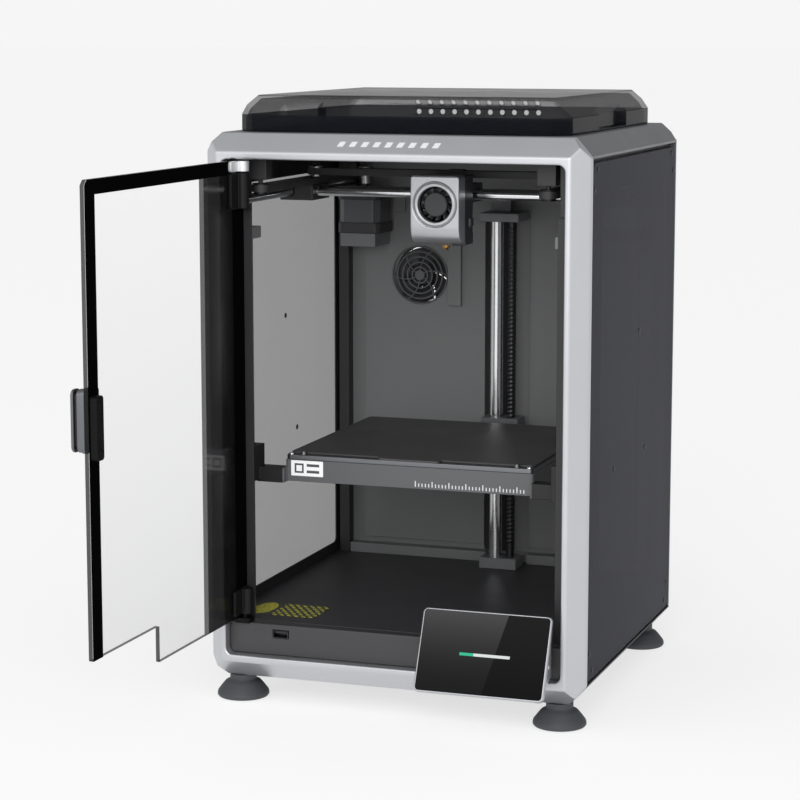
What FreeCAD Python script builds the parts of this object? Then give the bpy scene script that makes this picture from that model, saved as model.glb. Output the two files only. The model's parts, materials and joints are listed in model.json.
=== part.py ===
import FreeCAD, Part
import math
import os

from FreeCAD import Vector

os.makedirs("parts", exist_ok=True)

# ---------------------------------------------------------------- driving dimensions (mm)
# Body frame: origin on the floor under the body's centre, +X right, +Y back, +Z up.
WIDTH = 335.0
DEPTH = 335.0
BODY_BOTTOM = 20.5
BODY_TOP = 489.5
BEVEL_X = 14.0
BEVEL_Y = 15.0
BEVEL_Z = 16.0
HALF_W = WIDTH / 2
FRONT = -DEPTH / 2
BACK = DEPTH / 2

# Door opening and the flat rim round it
OPEN_X = 149.0
OPEN_LOW = 42.0
OPEN_HIGH = 467.5
OPEN_CORNER = 6.0
FRAME_BACK = -147.0
REAR_POST_FRONT = 152.5
PANEL_LOW = 37.0
PANEL_HIGH = 468.5
TOP_FRAME_LOW = 473.0

# Chamber
WALL_X = 163.0
LINER = 1.5
FLOOR_TOP = 69.5
BACK_WALL_Y = 150.0
WINDOW_Y = (-99.0, 138.0)
WINDOW_Z = (79.0, 442.0)
COLUMN_LIP_X = 137.5
COLUMN_LIP_Y = -144.4

# Lid
LID_X = 145.0
LID_Y = (-144.0, 146.0)
LID_WALL = 14.5
LID_TOP = 520.0
LID_SKIN = 3.0

# Door: closed outline, pivot and the angle it stands open at
DOOR_X = (-146.2, 147.0)
DOOR_Y = (-166.5, -162.5)
DOOR_Z = (74.5, 466.3)
DOOR_PIVOT = (-134.0, -159.0)
DOOR_REST = -90.5
DOOR_CORNER = 4.0
NOTCH_X = 30.0
NOTCH_TOP = 104.0

# Touch screen
SCREEN_X = (33.8, 144.9)
SCREEN_TOP_Y = -175.0
SCREEN_TOP_Z = 100.0
SCREEN_HEIGHT = 70.9
SCREEN_TILT = 24.4
SCREEN_THICK = 5.0

# Gantry and toolhead
ROD_Z = 431.5
ROD_R = 4.0
ROD_YS = (-14.0, 8.0)
Y_ROD_X = 143.4
Y_ROD_FRONT = -143.0
Y_ROD_LENGTH = 286.0
BELT_X = 126.5
BELT_W = 6.0
BELT_THICK = 1.4
PULLEY_R = 6.5
SIDE_BELT_Z = 438.5
GANTRY_BELT_Z = 445.8
HEAD_X = 6.4
HEAD_FACE = -67.0
CHIN_REACH = 13.0
CHIN_RISE = 15.0
NOZZLE = (6.4, -34.0, 384.5)
MOTOR_SIZE = 42.3
MOTOR_XY = (BELT_X, 126.6)
MOTOR_Z = (384.0, 423.5)

# Bed and its three lead screws
BED_X = 111.5
BED_Y = (-120.0, 92.0)
BED_LOW = 188.0
BED_TOP = 211.0
SCREWS = {"front_left": (-143.0, -137.0), "front_right": (143.0, -137.0), "rear": (20.0, 122.0)}
SMOOTH_RODS = ((-143.0, -123.0, 4.0), (143.0, -123.0, 4.0), (5.6, 122.0, 6.0))
SCREW_R = 4.0
ROD_TOP = 399.0

# Rear fittings
FAN_X = -79.0
FAN_Z = 342.0
FAN_SIZE = 60.0
INLET = (-112.0, 56.0)
SWITCH = (-66.0, 56.0)
SPOOL = (62.0, 330.0)
SPOOL_R = 16.0
SPOOL_LENGTH = 76.0

# The stored origin is the bottom centre of the printer as it stands, door open,
# so every piece is moved back by this much from the body frame.
ORIGIN_Y = -95.0


# ---------------------------------------------------------------- shape helpers
def box(x, y, z):
    low = Vector(x[0], y[0], z[0])
    return Part.makeBox(x[1] - x[0], y[1] - y[0], z[1] - z[0], low)


def cylinder(radius, start, axis, length):
    return Part.makeCylinder(radius, length, Vector(*start), Vector(*axis))


def upright(radius, x, y, low, high):
    return cylinder(radius, (x, y, low), (0, 0, 1), high - low)


def join(shapes):
    whole = shapes[0]
    if len(shapes) > 1:
        whole = whole.fuse(list(shapes[1:]))
    return whole.removeSplitter()


def cut(shape, tools):
    return shape.cut(list(tools))


def mirrored_pair(shape):
    return [shape, shape.mirror(Vector(0, 0, 0), Vector(1, 0, 0))]


def prism(outline, direction):
    """A straight solid: the closed outline of vectors pushed along direction."""
    wire = Part.makePolygon(list(outline) + [outline[0]])
    return Part.Face(wire).extrude(Vector(*direction))


def cut_corners(a, b, bevel_a, bevel_b):
    """The eight corners of a rectangle whose corners are cut off."""
    (a0, a1), (b0, b1) = a, b
    return [(a0 + bevel_a, b0), (a1 - bevel_a, b0), (a1, b0 + bevel_b), (a1, b1 - bevel_b),
            (a1 - bevel_a, b1), (a0 + bevel_a, b1), (a0, b1 - bevel_b), (a0, b0 + bevel_b)]


def bevelled_box(x, y, z, bevel):
    """A box with all twelve edges bevelled, as the common part of three straight prisms."""
    bx, by, bz = bevel
    along_z = prism([Vector(p, q, z[0]) for p, q in cut_corners(x, y, bx, by)], (0, 0, z[1] - z[0]))
    along_y = prism([Vector(p, y[0], q) for p, q in cut_corners(x, z, bx, bz)], (0, y[1] - y[0], 0))
    along_x = prism([Vector(x[0], p, q) for p, q in cut_corners(y, z, by, bz)], (x[1] - x[0], 0, 0))
    return along_z.common(along_y).common(along_x)


def rounded_plate(a, b, radius, plane, low, thick):
    """A plate with rounded corners. plane is the axis it is thick along."""
    (a0, a1), (b0, b1) = a, b
    place = {"x": lambda p, q: Vector(low, p, q), "y": lambda p, q: Vector(p, low, q),
             "z": lambda p, q: Vector(p, q, low)}[plane]
    push = {"x": (thick, 0, 0), "y": (0, thick, 0), "z": (0, 0, thick)}[plane]
    half = radius * (1 - math.sqrt(0.5))
    corners = ((a1, b0, -1, 1), (a1, b1, -1, -1), (a0, b1, 1, -1), (a0, b0, 1, 1))
    edges = []
    last = place(a0 + radius, b0)
    for index, (ca, cb, sa, sb) in enumerate(corners):
        beside, above = place(ca + sa * radius, cb), place(ca, cb + sb * radius)
        first, second = (beside, above) if index % 2 == 0 else (above, beside)
        edges.append(Part.makeLine(last, first))
        edges.append(Part.Arc(first, place(ca + sa * half, cb + sb * half), second).toShape())
        last = second
    return Part.Face(Part.Wire(edges)).extrude(Vector(*push))


def turned(profile, x, y):
    """A solid of revolution about the upright line through x, y. profile is (radius, height)."""
    wire = Part.makePolygon([Vector(r, 0, h) for r, h in profile + [profile[0]]])
    solid = Part.Face(wire).revolve(Vector(0, 0, 0), Vector(0, 0, 1), 360)
    return solid.translated(Vector(x, y, 0))


def belt_loop(centres, radius, low, height):
    """A flat belt of even thickness pulled tight round pulleys of one radius."""
    loop = []
    for extra in (BELT_THICK, 0.0):
        discs = [upright(radius + extra, x, y, low, low + height) for x, y in centres]
        spans = [belt_span(centres[i - 1], centres[i], radius + extra, low, height)
                 for i in range(len(centres))]
        inner = [prism([Vector(x, y, low) for x, y in centres], (0, 0, height))] if len(centres) > 2 else []
        loop.append(join(discs + spans + inner))
    return loop[0].cut(loop[1])


def belt_span(start, end, radius, low, height):
    """The straight block between two pulleys, as wide as they are."""
    dx, dy = end[0] - start[0], end[1] - start[1]
    length = math.hypot(dx, dy)
    nx, ny = -dy / length * radius, dx / length * radius
    outline = [(start[0] + nx, start[1] + ny), (start[0] - nx, start[1] - ny),
               (end[0] - nx, end[1] - ny), (end[0] + nx, end[1] + ny)]
    return prism([Vector(x, y, low) for x, y in outline], (0, 0, height))


# ---------------------------------------------------------------- outer frame
def body_block():
    half_d = DEPTH / 2
    return bevelled_box((-HALF_W, HALF_W), (-half_d, half_d), (BODY_BOTTOM, BODY_TOP),
                        (BEVEL_X, BEVEL_Y, BEVEL_Z))


def front_frame(block):
    """Front bezel: the bevelled front slice of the body with the door opening through it."""
    piece = block.common(box((-HALF_W, HALF_W), (FRONT, FRAME_BACK), (0, BODY_TOP)))
    opening = rounded_plate((-OPEN_X, OPEN_X), (OPEN_LOW, OPEN_HIGH), OPEN_CORNER, "y", FRONT - 1, 30)
    return piece.cut(opening)


def top_frame(block):
    """Top ring that the lid stands on."""
    piece = block.common(box((-HALF_W, HALF_W), (FRAME_BACK, BACK), (TOP_FRAME_LOW, BODY_TOP)))
    hole = rounded_plate((-LID_X + 7, LID_X - 7), (LID_Y[0] + 7, LID_Y[1] - 7), 8, "z", TOP_FRAME_LOW - 1, 20)
    return piece.cut(hole)


def base_tray(block):
    """Base ring with a thin bottom that carries the electronics."""
    piece = block.common(box((-HALF_W, HALF_W), (FRAME_BACK, BACK), (0, PANEL_LOW)))
    hollow = box((-HALF_W + 7, HALF_W - 7), (FRAME_BACK + 3, BACK - 8), (BODY_BOTTOM + 2.5, PANEL_LOW + 1))
    slots = [box((x, x + 4), (40, 110), (BODY_BOTTOM - 1, BODY_BOTTOM + 4)) for x in range(-100, 101, 10)]
    return cut(piece, [hollow] + slots)


def rear_posts(block):
    """The two bevelled upright corners at the back."""
    right = block.common(box((OPEN_X, HALF_W), (REAR_POST_FRONT, BACK), (PANEL_LOW, TOP_FRAME_LOW)))
    right = right.cut(box((OPEN_X - 1, HALF_W - 12.5), (REAR_POST_FRONT - 1, BACK - 10), (0, BODY_TOP)))
    return Part.makeCompound(mirrored_pair(right))


def side_panel(side):
    """Smoked sheet with rounded corners that closes one side."""
    low = WALL_X + 0.5 if side > 0 else -WALL_X - 3.5
    return rounded_plate((FRAME_BACK + 0.5, REAR_POST_FRONT - 0.5), (PANEL_LOW + 0.7, PANEL_HIGH),
                         10, "x", low, 3.0)


def back_panel():
    """Outer steel sheet at the back, with the fan, inlet, switch and filament openings."""
    sheet = box((-OPEN_X + 0.5, OPEN_X - 0.5), (BACK - 4.5, BACK - 2.5), (PANEL_LOW, TOP_FRAME_LOW - 0.5))
    holes = [cylinder(27, (FAN_X, BACK - 6, FAN_Z), (0, 1, 0), 6),
             box((INLET[0] - 15, INLET[0] + 15), (BACK - 6, BACK), (INLET[1] - 11.5, INLET[1] + 11.5)),
             box((SWITCH[0] - 7.2, SWITCH[0] + 7.2), (BACK - 6, BACK), (SWITCH[1] - 10.9, SWITCH[1] + 10.9)),
             cylinder(3, (110, BACK - 6, 436), (0, 1, 0), 6)]
    vents = [box((x, x + 3), (BACK - 6, BACK), (88, 128)) for x in range(-40, 121, 8)]
    return cut(sheet, holes + vents)


def panel_screws():
    """Countersunk screws of both side panels and of the back panel."""
    side_places = ((-129.5, 463), (-139, 447), (136, 463), (144, 447), (-129.5, 46), (-139, 62),
                   (136, 46), (144, 62), (21, 314), (-64, 205), (48, 206))
    solids = []
    for y, z in side_places:
        head = cylinder(2.4, (WALL_X + 3.5, y, z), (1, 0, 0), 0.6)
        solids += mirrored_pair(head)
    for x in (-142, -30, 50, 142):
        for z in (48, 200, 458):
            solids.append(cylinder(3.0, (x, BACK - 2.5, z), (0, 1, 0), 1.6))
    return Part.makeCompound(solids)


def feet():
    """Four flared rubber feet."""
    profile = [(0, 0), (22.5, 0), (22.5, 4.5), (15.5, 13.5), (11.5, 15), (11.5, BODY_BOTTOM), (0, BODY_BOTTOM)]
    places = [(x, y) for x in (-142.8, 142.8) for y in (-143.5, 140.0)]
    return Part.makeCompound([turned(profile, x, y) for x, y in places])


# ---------------------------------------------------------------- chamber sheet metal
def side_liners():
    """Inner steel side walls, each with a large window."""
    wall = box((WALL_X - LINER, WALL_X), (FRAME_BACK, REAR_POST_FRONT - 0.5), (PANEL_LOW, 465))
    window = rounded_plate(WINDOW_Y, WINDOW_Z, 5, "x", WALL_X - 5, 10)
    return Part.makeCompound(mirrored_pair(wall.cut(window)))


def inner_columns():
    """Folded columns in the four chamber corners; a lip on the front ones hides the rods and screws."""
    outer = WALL_X - LINER
    front = box((OPEN_X, outer), (FRAME_BACK, WINDOW_Y[0]), (FLOOR_TOP, 465))
    front = front.cut(box((OPEN_X + 1.5, outer + 1), (FRAME_BACK + 1.5, WINDOW_Y[0] + 1), (FLOOR_TOP - 1, 466)))
    lip = box((COLUMN_LIP_X, OPEN_X + 1), (COLUMN_LIP_Y, COLUMN_LIP_Y + 1.0), (FLOOR_TOP, 423))
    front = front.fuse(lip)
    rear = box((OPEN_X - 1, 158), (WINDOW_Y[1], BACK_WALL_Y), (FLOOR_TOP, 465))
    rear = rear.cut(box((OPEN_X + 0.5, 159), (WINDOW_Y[1] + 1.5, BACK_WALL_Y + 1), (FLOOR_TOP - 1, 466)))
    return Part.makeCompound(mirrored_pair(front) + mirrored_pair(rear))


def inner_back_wall():
    """Chamber back wall: a raised centre sheet with a channel for the rear rod and screw."""
    sheet = box((-OPEN_X - 12, OPEN_X + 12), (BACK_WALL_Y, BACK_WALL_Y + LINER), (FLOOR_TOP, 465))
    raised = box((-135, 135), (BACK_WALL_Y - 2, BACK_WALL_Y), (84, 460))
    ledge = box((-OPEN_X + 1.5, OPEN_X - 1.5), (WINDOW_Y[1] + 0.5, BACK_WALL_Y), (FLOOR_TOP, 79))
    fan_box = box((-50, -37), (BACK_WALL_Y - 6, BACK_WALL_Y), (314, 372))
    plug = box((-104.8, -93), (BACK_WALL_Y - 6, BACK_WALL_Y), (402, 421))
    channel = box((-14, 30), (BACK_WALL_Y - 3, BACK_WALL_Y), (79, 402))
    fan_hole = cylinder(27, (FAN_X, BACK_WALL_Y - 4, FAN_Z), (0, 1, 0), 8)
    rods = box((-9, 31), (WINDOW_Y[1] - 1, BACK_WALL_Y - 3), (FLOOR_TOP - 1, 90))
    return cut(join([sheet, raised.cut(channel), ledge, fan_box, plug]), [fan_hole, rods])


def top_rails():
    """Steel ring under the top frame that carries the rods and idlers."""
    outer = box((-161, 161), (FRAME_BACK, REAR_POST_FRONT - 0.5), (468, TOP_FRAME_LOW))
    inner = box((-140, 140), (-139, 141), (460, 480))
    rods = [cylinder(ROD_R, (x, Y_ROD_FRONT, ROD_Z), (0, 1, 0), Y_ROD_LENGTH) for x in (-Y_ROD_X, Y_ROD_X)]
    rod_ends = []
    for x in (-Y_ROD_X, Y_ROD_X):
        for y in (Y_ROD_FRONT - 1, Y_ROD_FRONT + Y_ROD_LENGTH - 6):
            rod_ends.append(box((x - 4.4, x + 4.4), (y, y + 7), (424, 469)))
    shelves = [box((x - 8, x + 8), (-141, -127), (449, 469)) for x in (-BELT_X, BELT_X)]
    pins = [upright(2.0, x, -134, SIDE_BELT_Z - 2, 450) for x in (-BELT_X, BELT_X)]
    return join([outer.cut(inner)] + shelves + pins + [cut(end, rods) for end in rod_ends])


def floor_plate():
    """Chamber floor with holes for the screws and rods."""
    sheet = box((-OPEN_X - 12, OPEN_X + 12), (FRAME_BACK, REAR_POST_FRONT - 1), (FLOOR_TOP - 2, FLOOR_TOP))
    holes = [upright(SCREW_R + 1, x, y, 0, 100) for x, y in SCREWS.values()]
    return cut(sheet, holes)


def chin_panel():
    """Strip below the door with the opening of the USB port."""
    strip = rounded_plate((-OPEN_X + 0.3, OPEN_X - 0.3), (OPEN_LOW + 0.3, FLOOR_TOP - 0.2), OPEN_CORNER + 0.3,
                          "y", -158, 2.5)
    shelf = box((-OPEN_X + 0.3, OPEN_X - 0.3), (-158, FRAME_BACK), (FLOOR_TOP - 2.2, FLOOR_TOP - 0.2))
    port = box((-109.2, -94.4), (-160, -150), (57.2, 64.4))
    return join([strip, shelf]).cut(port)


def usb_port():
    """Metal socket shell with its plastic tongue."""
    shell = box((-108.9, -94.7), (-158.4, -148), (57.5, 64.1))
    shell = shell.cut(box((-108.2, -95.4), (-159, -149), (58.2, 63.4)))
    tongue = box((-107.2, -96.4), (-157, -148.5), (61.6, 63.0))
    return Part.makeCompound([shell, tongue])


# ---------------------------------------------------------------- lid
def lid():
    """Smoked cover with a bevelled top, a grip recess in each side and two rows of vents."""
    x, y = (-LID_X, LID_X), LID_Y
    rim = LID_TOP - BODY_TOP - LID_WALL
    half = LID_WALL + rim
    outer = bevelled_box(x, y, (BODY_TOP - half, LID_TOP), (15.2, 14.3, rim))
    low = BODY_TOP - half + LID_SKIN
    inner = bevelled_box((x[0] + LID_SKIN, x[1] - LID_SKIN), (y[0] + LID_SKIN, y[1] - LID_SKIN),
                         (low, LID_TOP - LID_SKIN), (14.0, 13.2, rim))
    keep = box((-200, 200), (-200, 200), (BODY_TOP, LID_TOP + 1))
    shell = outer.cut(inner).common(keep)
    lip = rounded_plate((x[0] + 8, x[1] - 8), (y[0] + 8, y[1] - 8), 7, "z", BODY_TOP - 3, 4.0)
    lip = lip.cut(rounded_plate((x[0] + 10, x[1] - 10), (y[0] + 10, y[1] - 10), 5, "z", BODY_TOP - 4, 8.0))
    ledge = rounded_plate((x[0] + 1, x[1] - 1), (y[0] + 1, y[1] - 1), 4, "z", BODY_TOP, 1.0)
    ledge = ledge.cut(rounded_plate((x[0] + 10, x[1] - 10), (y[0] + 10, y[1] - 10), 5, "z", BODY_TOP - 4, 8.0))
    ledge = ledge.common(outer)
    pockets, walls = [], []
    for side in (-1, 1):
        pocket = box(sorted((side * (LID_X - 6), side * (LID_X + 20))), (-44, 49), (BODY_TOP + 2, LID_TOP - 11))
        wall = box(sorted((side * (LID_X - 8), side * (LID_X - 1))), (-46, 51), (BODY_TOP, LID_TOP - 9))
        pockets.append(pocket)
        walls.append(wall.common(outer))
    vents = [cylinder(2.4, (-79 + 11.7 * i, LID_Y[1] - 8, BODY_TOP + 8), (0, 1, 0), 12) for i in range(11)]
    vents += [cylinder(2.4, (-79 + 11.7 * i, LID_Y[1] - 14, BODY_TOP + 17), (0, 1, 0), 20) for i in range(11)]
    return cut(join([shell, lip, ledge] + walls), pockets + vents)


# ---------------------------------------------------------------- door
def opened(shape):
    """Swing a closed-door shape about the pivot to where the door stands."""
    return shape.rotated(Vector(DOOR_PIVOT[0], DOOR_PIVOT[1], 0), Vector(0, 0, 1), DOOR_REST)


def door_outline(y):
    """Door outline in its closed plane, with the notch that clears the screen."""
    (x0, x1), (z0, z1) = DOOR_X, DOOR_Z
    points = [(x0, z0), (NOTCH_X, z0), (NOTCH_X, NOTCH_TOP), (x1, NOTCH_TOP), (x1, z1 - DOOR_CORNER),
              (x1 - DOOR_CORNER, z1), (x0 + DOOR_CORNER, z1), (x0, z1 - DOOR_CORNER)]
    return [Vector(x, y, z) for x, z in points]


def door_glass():
    return opened(prism(door_outline(DOOR_Y[0]), (0, DOOR_Y[1] - DOOR_Y[0], 0)))


def door_border():
    """Opaque black print behind the glass: hinge strip, top band and free-edge band."""
    y = (DOOR_Y[1], DOOR_Y[1] + 0.4)
    hinge = box((DOOR_X[0], DOOR_X[0] + 23), y, DOOR_Z)
    top = box(DOOR_X, y, (DOOR_Z[1] - 11.5, DOOR_Z[1]))
    free = box((DOOR_X[1] - 16, DOOR_X[1]), y, (NOTCH_TOP, DOOR_Z[1]))
    outline = prism(door_outline(y[0]), (0, y[1] - y[0], 0))
    return opened(join([hinge, top, free]).common(outline))


def door_handle():
    """Pull on the outside of the free edge."""
    edge = DOOR_X[1]
    plate = rounded_plate((edge - 26, edge - 0.5), (262, 311), 5, "y", DOOR_Y[0] - 3, 3)
    grip = rounded_plate((edge - 12, edge - 2), (266, 307), 4, "y", DOOR_Y[0] - 12, 10)
    return opened(join([plate, grip]))


def door_latch():
    """Magnetic catch block on the inside, with its two screws."""
    y, edge = DOOR_Y[1] + 0.4, DOOR_X[1]
    block = rounded_plate((edge - 13, edge - 1), (257, 306), 3, "y", y, 6)
    heads = [cylinder(2.2, (edge - 7, y + 6, z), (0, 1, 0), 0.8) for z in (264, 299)]
    return opened(join([block] + heads))


def door_hinge_clamps():
    """Upper and lower clamps that grip the glass and turn on the pins."""
    solids = []
    y = DOOR_Y[1] + 0.4
    for low, high in ((426, 456), (457, 466), (78, 100)):
        pad = rounded_plate((-145, -114), (low, high), 3, "y", y, 3)
        barrel = upright(5.5, DOOR_PIVOT[0], DOOR_PIVOT[1] + 1.5, low, high)
        barrel = barrel.common(box((-150, -110), (y, -140), (low, high)))
        pin_hole = upright(2.05, DOOR_PIVOT[0], DOOR_PIVOT[1], low - 1, high + 1)
        solids.append(opened(join([pad, barrel]).cut(pin_hole)))
    return Part.makeCompound(solids)


def hinge_pins():
    """Fixed lugs in the door opening with the two pins that the clamps turn on."""
    solids = []
    x, y = DOOR_PIVOT
    for low, high, pin_low, pin_high in ((DOOR_Z[1] + 0.3, OPEN_HIGH, 430, OPEN_HIGH),
                                         (FLOOR_TOP - 0.2, DOOR_Z[0] - 0.6, FLOOR_TOP, 98)):
        lug = box((x - 8, x + 5), (y - 4, y + 8), (low, high))
        solids.append(join([lug, upright(2.0, x, y, pin_low, pin_high)]))
    return Part.makeCompound(solids)


# ---------------------------------------------------------------- touch screen
def tilted(shape):
    """Lean a shape drawn upright, behind the screen's top edge, back to the screen's angle."""
    return shape.rotated(Vector(0, SCREEN_TOP_Y, SCREEN_TOP_Z), Vector(1, 0, 0), -SCREEN_TILT)


def screen_display():
    """The display module: a metal surround and its cover glass."""
    low = SCREEN_TOP_Z - SCREEN_HEIGHT
    surround = rounded_plate(SCREEN_X, (low, SCREEN_TOP_Z), 4, "y", SCREEN_TOP_Y, SCREEN_THICK)
    recess = rounded_plate((SCREEN_X[0] + 1.2, SCREEN_X[1] - 1.2), (low + 1.2, SCREEN_TOP_Z - 1.2), 3,
                           "y", SCREEN_TOP_Y - 1, 2.0)
    glass = rounded_plate((SCREEN_X[0] + 1.2, SCREEN_X[1] - 1.2), (low + 1.2, SCREEN_TOP_Z - 1.2), 3,
                          "y", SCREEN_TOP_Y - 0.2, 1.2)
    return Part.makeCompound([tilted(surround.cut(recess)), tilted(glass)])


def screen_housing():
    """Wedge that carries the display in front of the bezel."""
    tilt = math.radians(SCREEN_TILT)
    back_top = (SCREEN_TOP_Y + SCREEN_THICK * math.cos(tilt), SCREEN_TOP_Z - 3 - SCREEN_THICK * math.sin(tilt))
    drop = SCREEN_HEIGHT - 8
    back_low = (back_top[0] - drop * math.sin(tilt), back_top[1] - drop * math.cos(tilt))
    outline = [back_top, back_low, (FRONT, back_low[1] + 9), (FRONT, back_top[1])]
    points = [Vector(SCREEN_X[0] + 5, y, z) for y, z in outline]
    wedge = prism(points, (SCREEN_X[1] - SCREEN_X[0] - 8, 0, 0))
    holes = [cylinder(1.5, (SCREEN_X[1] - 8, FRONT - 8, z), (1, 0, 0), 10) for z in (57, 65, 73)]
    return cut(wedge, holes)


# ---------------------------------------------------------------- electronics
def power_supply():
    """Enclosed supply with its vent slots, under the floor plate."""
    case = box((-148, -38), (20, 128), (BODY_BOTTOM + 2.5, 54))
    slots = [box((x, x + 3), (36, 112), (50, 56)) for x in range(-130, -55, 8)]
    return cut(case, slots)


def control_board():
    """Main circuit board with its processor, sockets and capacitors."""
    board = box((46, 140), (24, 128), (30, 31.6))
    posts = [upright(3, x, y, BODY_BOTTOM + 2.5, 30) for x in (51, 135) for y in (29, 123)]
    chip = box((86, 100), (66, 80), (31.6, 33.2))
    sinks = [box((52 + 18 * i, 62 + 18 * i), (100, 110), (31.6, 41)) for i in range(4)]
    sockets = [box((50 + 12 * i, 59 + 12 * i), (27, 33), (31.6, 38)) for i in range(7)]
    cans = [upright(4, 128, y, 31.6, 44) for y in (60, 72, 84)]
    return join([board] + posts + [chip] + sinks + sockets + cans)


def power_inlet():
    """Three-pin appliance inlet in the back panel."""
    x, z = INLET
    y = BACK - 2.5
    flange = rounded_plate((x - 25, x + 25), (z - 13.5, z + 13.5), 3, "y", y, 3)
    case = box((x - 14, x + 14), (y - 24, y), (z - 11, z + 11))
    mouth = box((x - 12, x + 12), (y - 18, y + 5), (z - 8, z + 8))
    blades = [box((x + dx - 1, x + dx + 1), (y - 24, y - 4), (z + dz - 2, z + dz + 2))
              for dx, dz in ((-7, -1.5), (0, 2.5), (7, -1.5))]
    heads = [cylinder(2.6, (x + dx, y + 3, z), (0, 1, 0), 1.2) for dx in (-20, 20)]
    return join([join([flange, case]).cut(mouth)] + blades + heads)


def switch_frame():
    """Bezel and well of the mains switch."""
    x, z = SWITCH
    y = BACK - 2.5
    flange = rounded_plate((x - 9.5, x + 9.5), (z - 12.5, z + 12.5), 2, "y", y, 1.8)
    well = box((x - 7.2, x + 7.2), (y - 13, y), (z - 10.9, z + 10.9))
    return join([flange, well]).cut(box((x - 6.6, x + 6.6), (y - 11.5, y + 3), (z - 10.3, z + 10.3)))


def power_switch():
    """Rocker of the mains switch, stored with its lower half pressed."""
    x, z = SWITCH
    y = BACK - 2.5
    barrel = cylinder(7.0, (x - 6.4, y - 3.5, z), (1, 0, 0), 12.8)
    side = ((-5, -8), (1, -8), (4.6, 0), (4.6, 8), (-1, 8))
    paddle = prism([Vector(x - 6.4, y + dy, z + dz) for dy, dz in side], (12.8, 0, 0))
    return join([barrel, paddle])


# ---------------------------------------------------------------- exhaust fan
def exhaust_fan_housing():
    """Square fan frame between the chamber wall and the back panel."""
    half = FAN_SIZE / 2
    y = (BACK_WALL_Y + LINER, BACK - 4.5)
    frame = box((FAN_X - half, FAN_X + half), y, (FAN_Z - half, FAN_Z + half))
    bore = cylinder(28, (FAN_X, y[0] - 1, FAN_Z), (0, 1, 0), 20)
    hub = cylinder(11, (FAN_X, y[1] - 2, FAN_Z), (0, 1, 0), 2)
    spokes = [box((FAN_X - 1.5, FAN_X + 1.5), (y[1] - 2, y[1]), (FAN_Z, FAN_Z + 29)).rotated(
        Vector(FAN_X, 0, FAN_Z), Vector(0, 1, 0), 45 + 90 * i) for i in range(4)]
    return join([frame.cut(bore), hub] + spokes)


def fan_rotor(x, y, z, hub_r, tip_r, depth, blades):
    """Hub and pitched blades turning about a line along Y."""
    hub = cylinder(hub_r, (x, y, z), (0, 1, 0), depth)
    ring = []
    for i in range(blades):
        blade = Part.makeBox(tip_r - hub_r + 1, 1.0, depth * 0.9, Vector(hub_r - 1, -0.5, -depth * 0.45))
        blade = blade.rotated(Vector(0, 0, 0), Vector(1, 0, 0), 38)
        blade = blade.rotated(Vector(0, 0, 0), Vector(1, 0, 0), 90)
        blade = blade.translated(Vector(x, y + depth / 2, z))
        ring.append(blade.rotated(Vector(x, y, z), Vector(0, 1, 0), 360 / blades * i))
    return join([hub] + ring)


def exhaust_grille():
    """Finger guards of the exhaust fan: rings and spokes, inside and outside."""
    guards = []
    for y, thick in ((BACK_WALL_Y - 3.6, 1.6), (BACK - 2.5, 2.0)):
        rings = []
        for radius in (28.5, 22.5, 16.5, 10.5):
            outer = cylinder(radius, (FAN_X, y, FAN_Z), (0, 1, 0), thick)
            rings.append(outer.cut(cylinder(radius - 2.2, (FAN_X, y - 1, FAN_Z), (0, 1, 0), thick + 2)))
        disc = cylinder(5, (FAN_X, y, FAN_Z), (0, 1, 0), thick)
        spokes = [box((FAN_X - 1.1, FAN_X + 1.1), (y, y + thick), (FAN_Z, FAN_Z + 27.5)).rotated(
            Vector(FAN_X, 0, FAN_Z), Vector(0, 1, 0), 30 + 60 * i) for i in range(6)]
        guards.append(join(rings + [disc] + spokes))
    return Part.makeCompound(guards)


# ---------------------------------------------------------------- belts, motors and brackets
def stepper(x, y, low, high, shaft_top):
    """Square stepping motor with cut corners, a laminated middle and its shaft."""
    half = MOTOR_SIZE / 2
    caps = [prism([Vector(p, q, z0) for p, q in cut_corners((x - half, x + half), (y - half, y + half), 4, 4)],
                  (0, 0, z1 - z0)) for z0, z1 in ((low, low + 10), (high - 8, high))]
    middle = prism([Vector(p, q, low + 10) for p, q in
                    cut_corners((x - half + 0.8, x + half - 0.8), (y - half + 0.8, y + half - 0.8), 6, 6)],
                   (0, 0, high - low - 18))
    boss = upright(11, x, y, high, high + 1.6)
    return join(caps + [middle, boss, upright(2.5, x, y, high, shaft_top)])


def xy_motors():
    x, y = MOTOR_XY
    return Part.makeCompound([stepper(side * x, y, MOTOR_Z[0], MOTOR_Z[1], 436.5) for side in (-1, 1)])


def pulley(x, y, low, bore):
    """Flanged belt pulley on an upright shaft."""
    body = upright(PULLEY_R - 0.3, x, y, low, low + BELT_W + 1.6)
    flanges = [upright(PULLEY_R + 0.6, x, y, z, z + 0.6) for z in (low - 0.6, low + BELT_W + 1.4)]
    return join([body] + flanges).cut(upright(bore, x, y, low - 2, low + 20))


def motor_pulley(side):
    low = SIDE_BELT_Z - 0.7
    core = upright(4.5, side * MOTOR_XY[0], MOTOR_XY[1], low - 8, low)
    core = core.cut(upright(2.55, side * MOTOR_XY[0], MOTOR_XY[1], low - 9, low + 1))
    return join([core, pulley(side * MOTOR_XY[0], MOTOR_XY[1], low, 2.55)])


def front_idler(side):
    return pulley(side * BELT_X, -134, SIDE_BELT_Z - 0.7, 2.05)


def gantry_idler(side):
    return pulley(side * BELT_X, gantry_centre(), GANTRY_BELT_Z - 0.7, 2.55)


def gantry_centre():
    return (ROD_YS[0] + ROD_YS[1]) / 2


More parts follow.
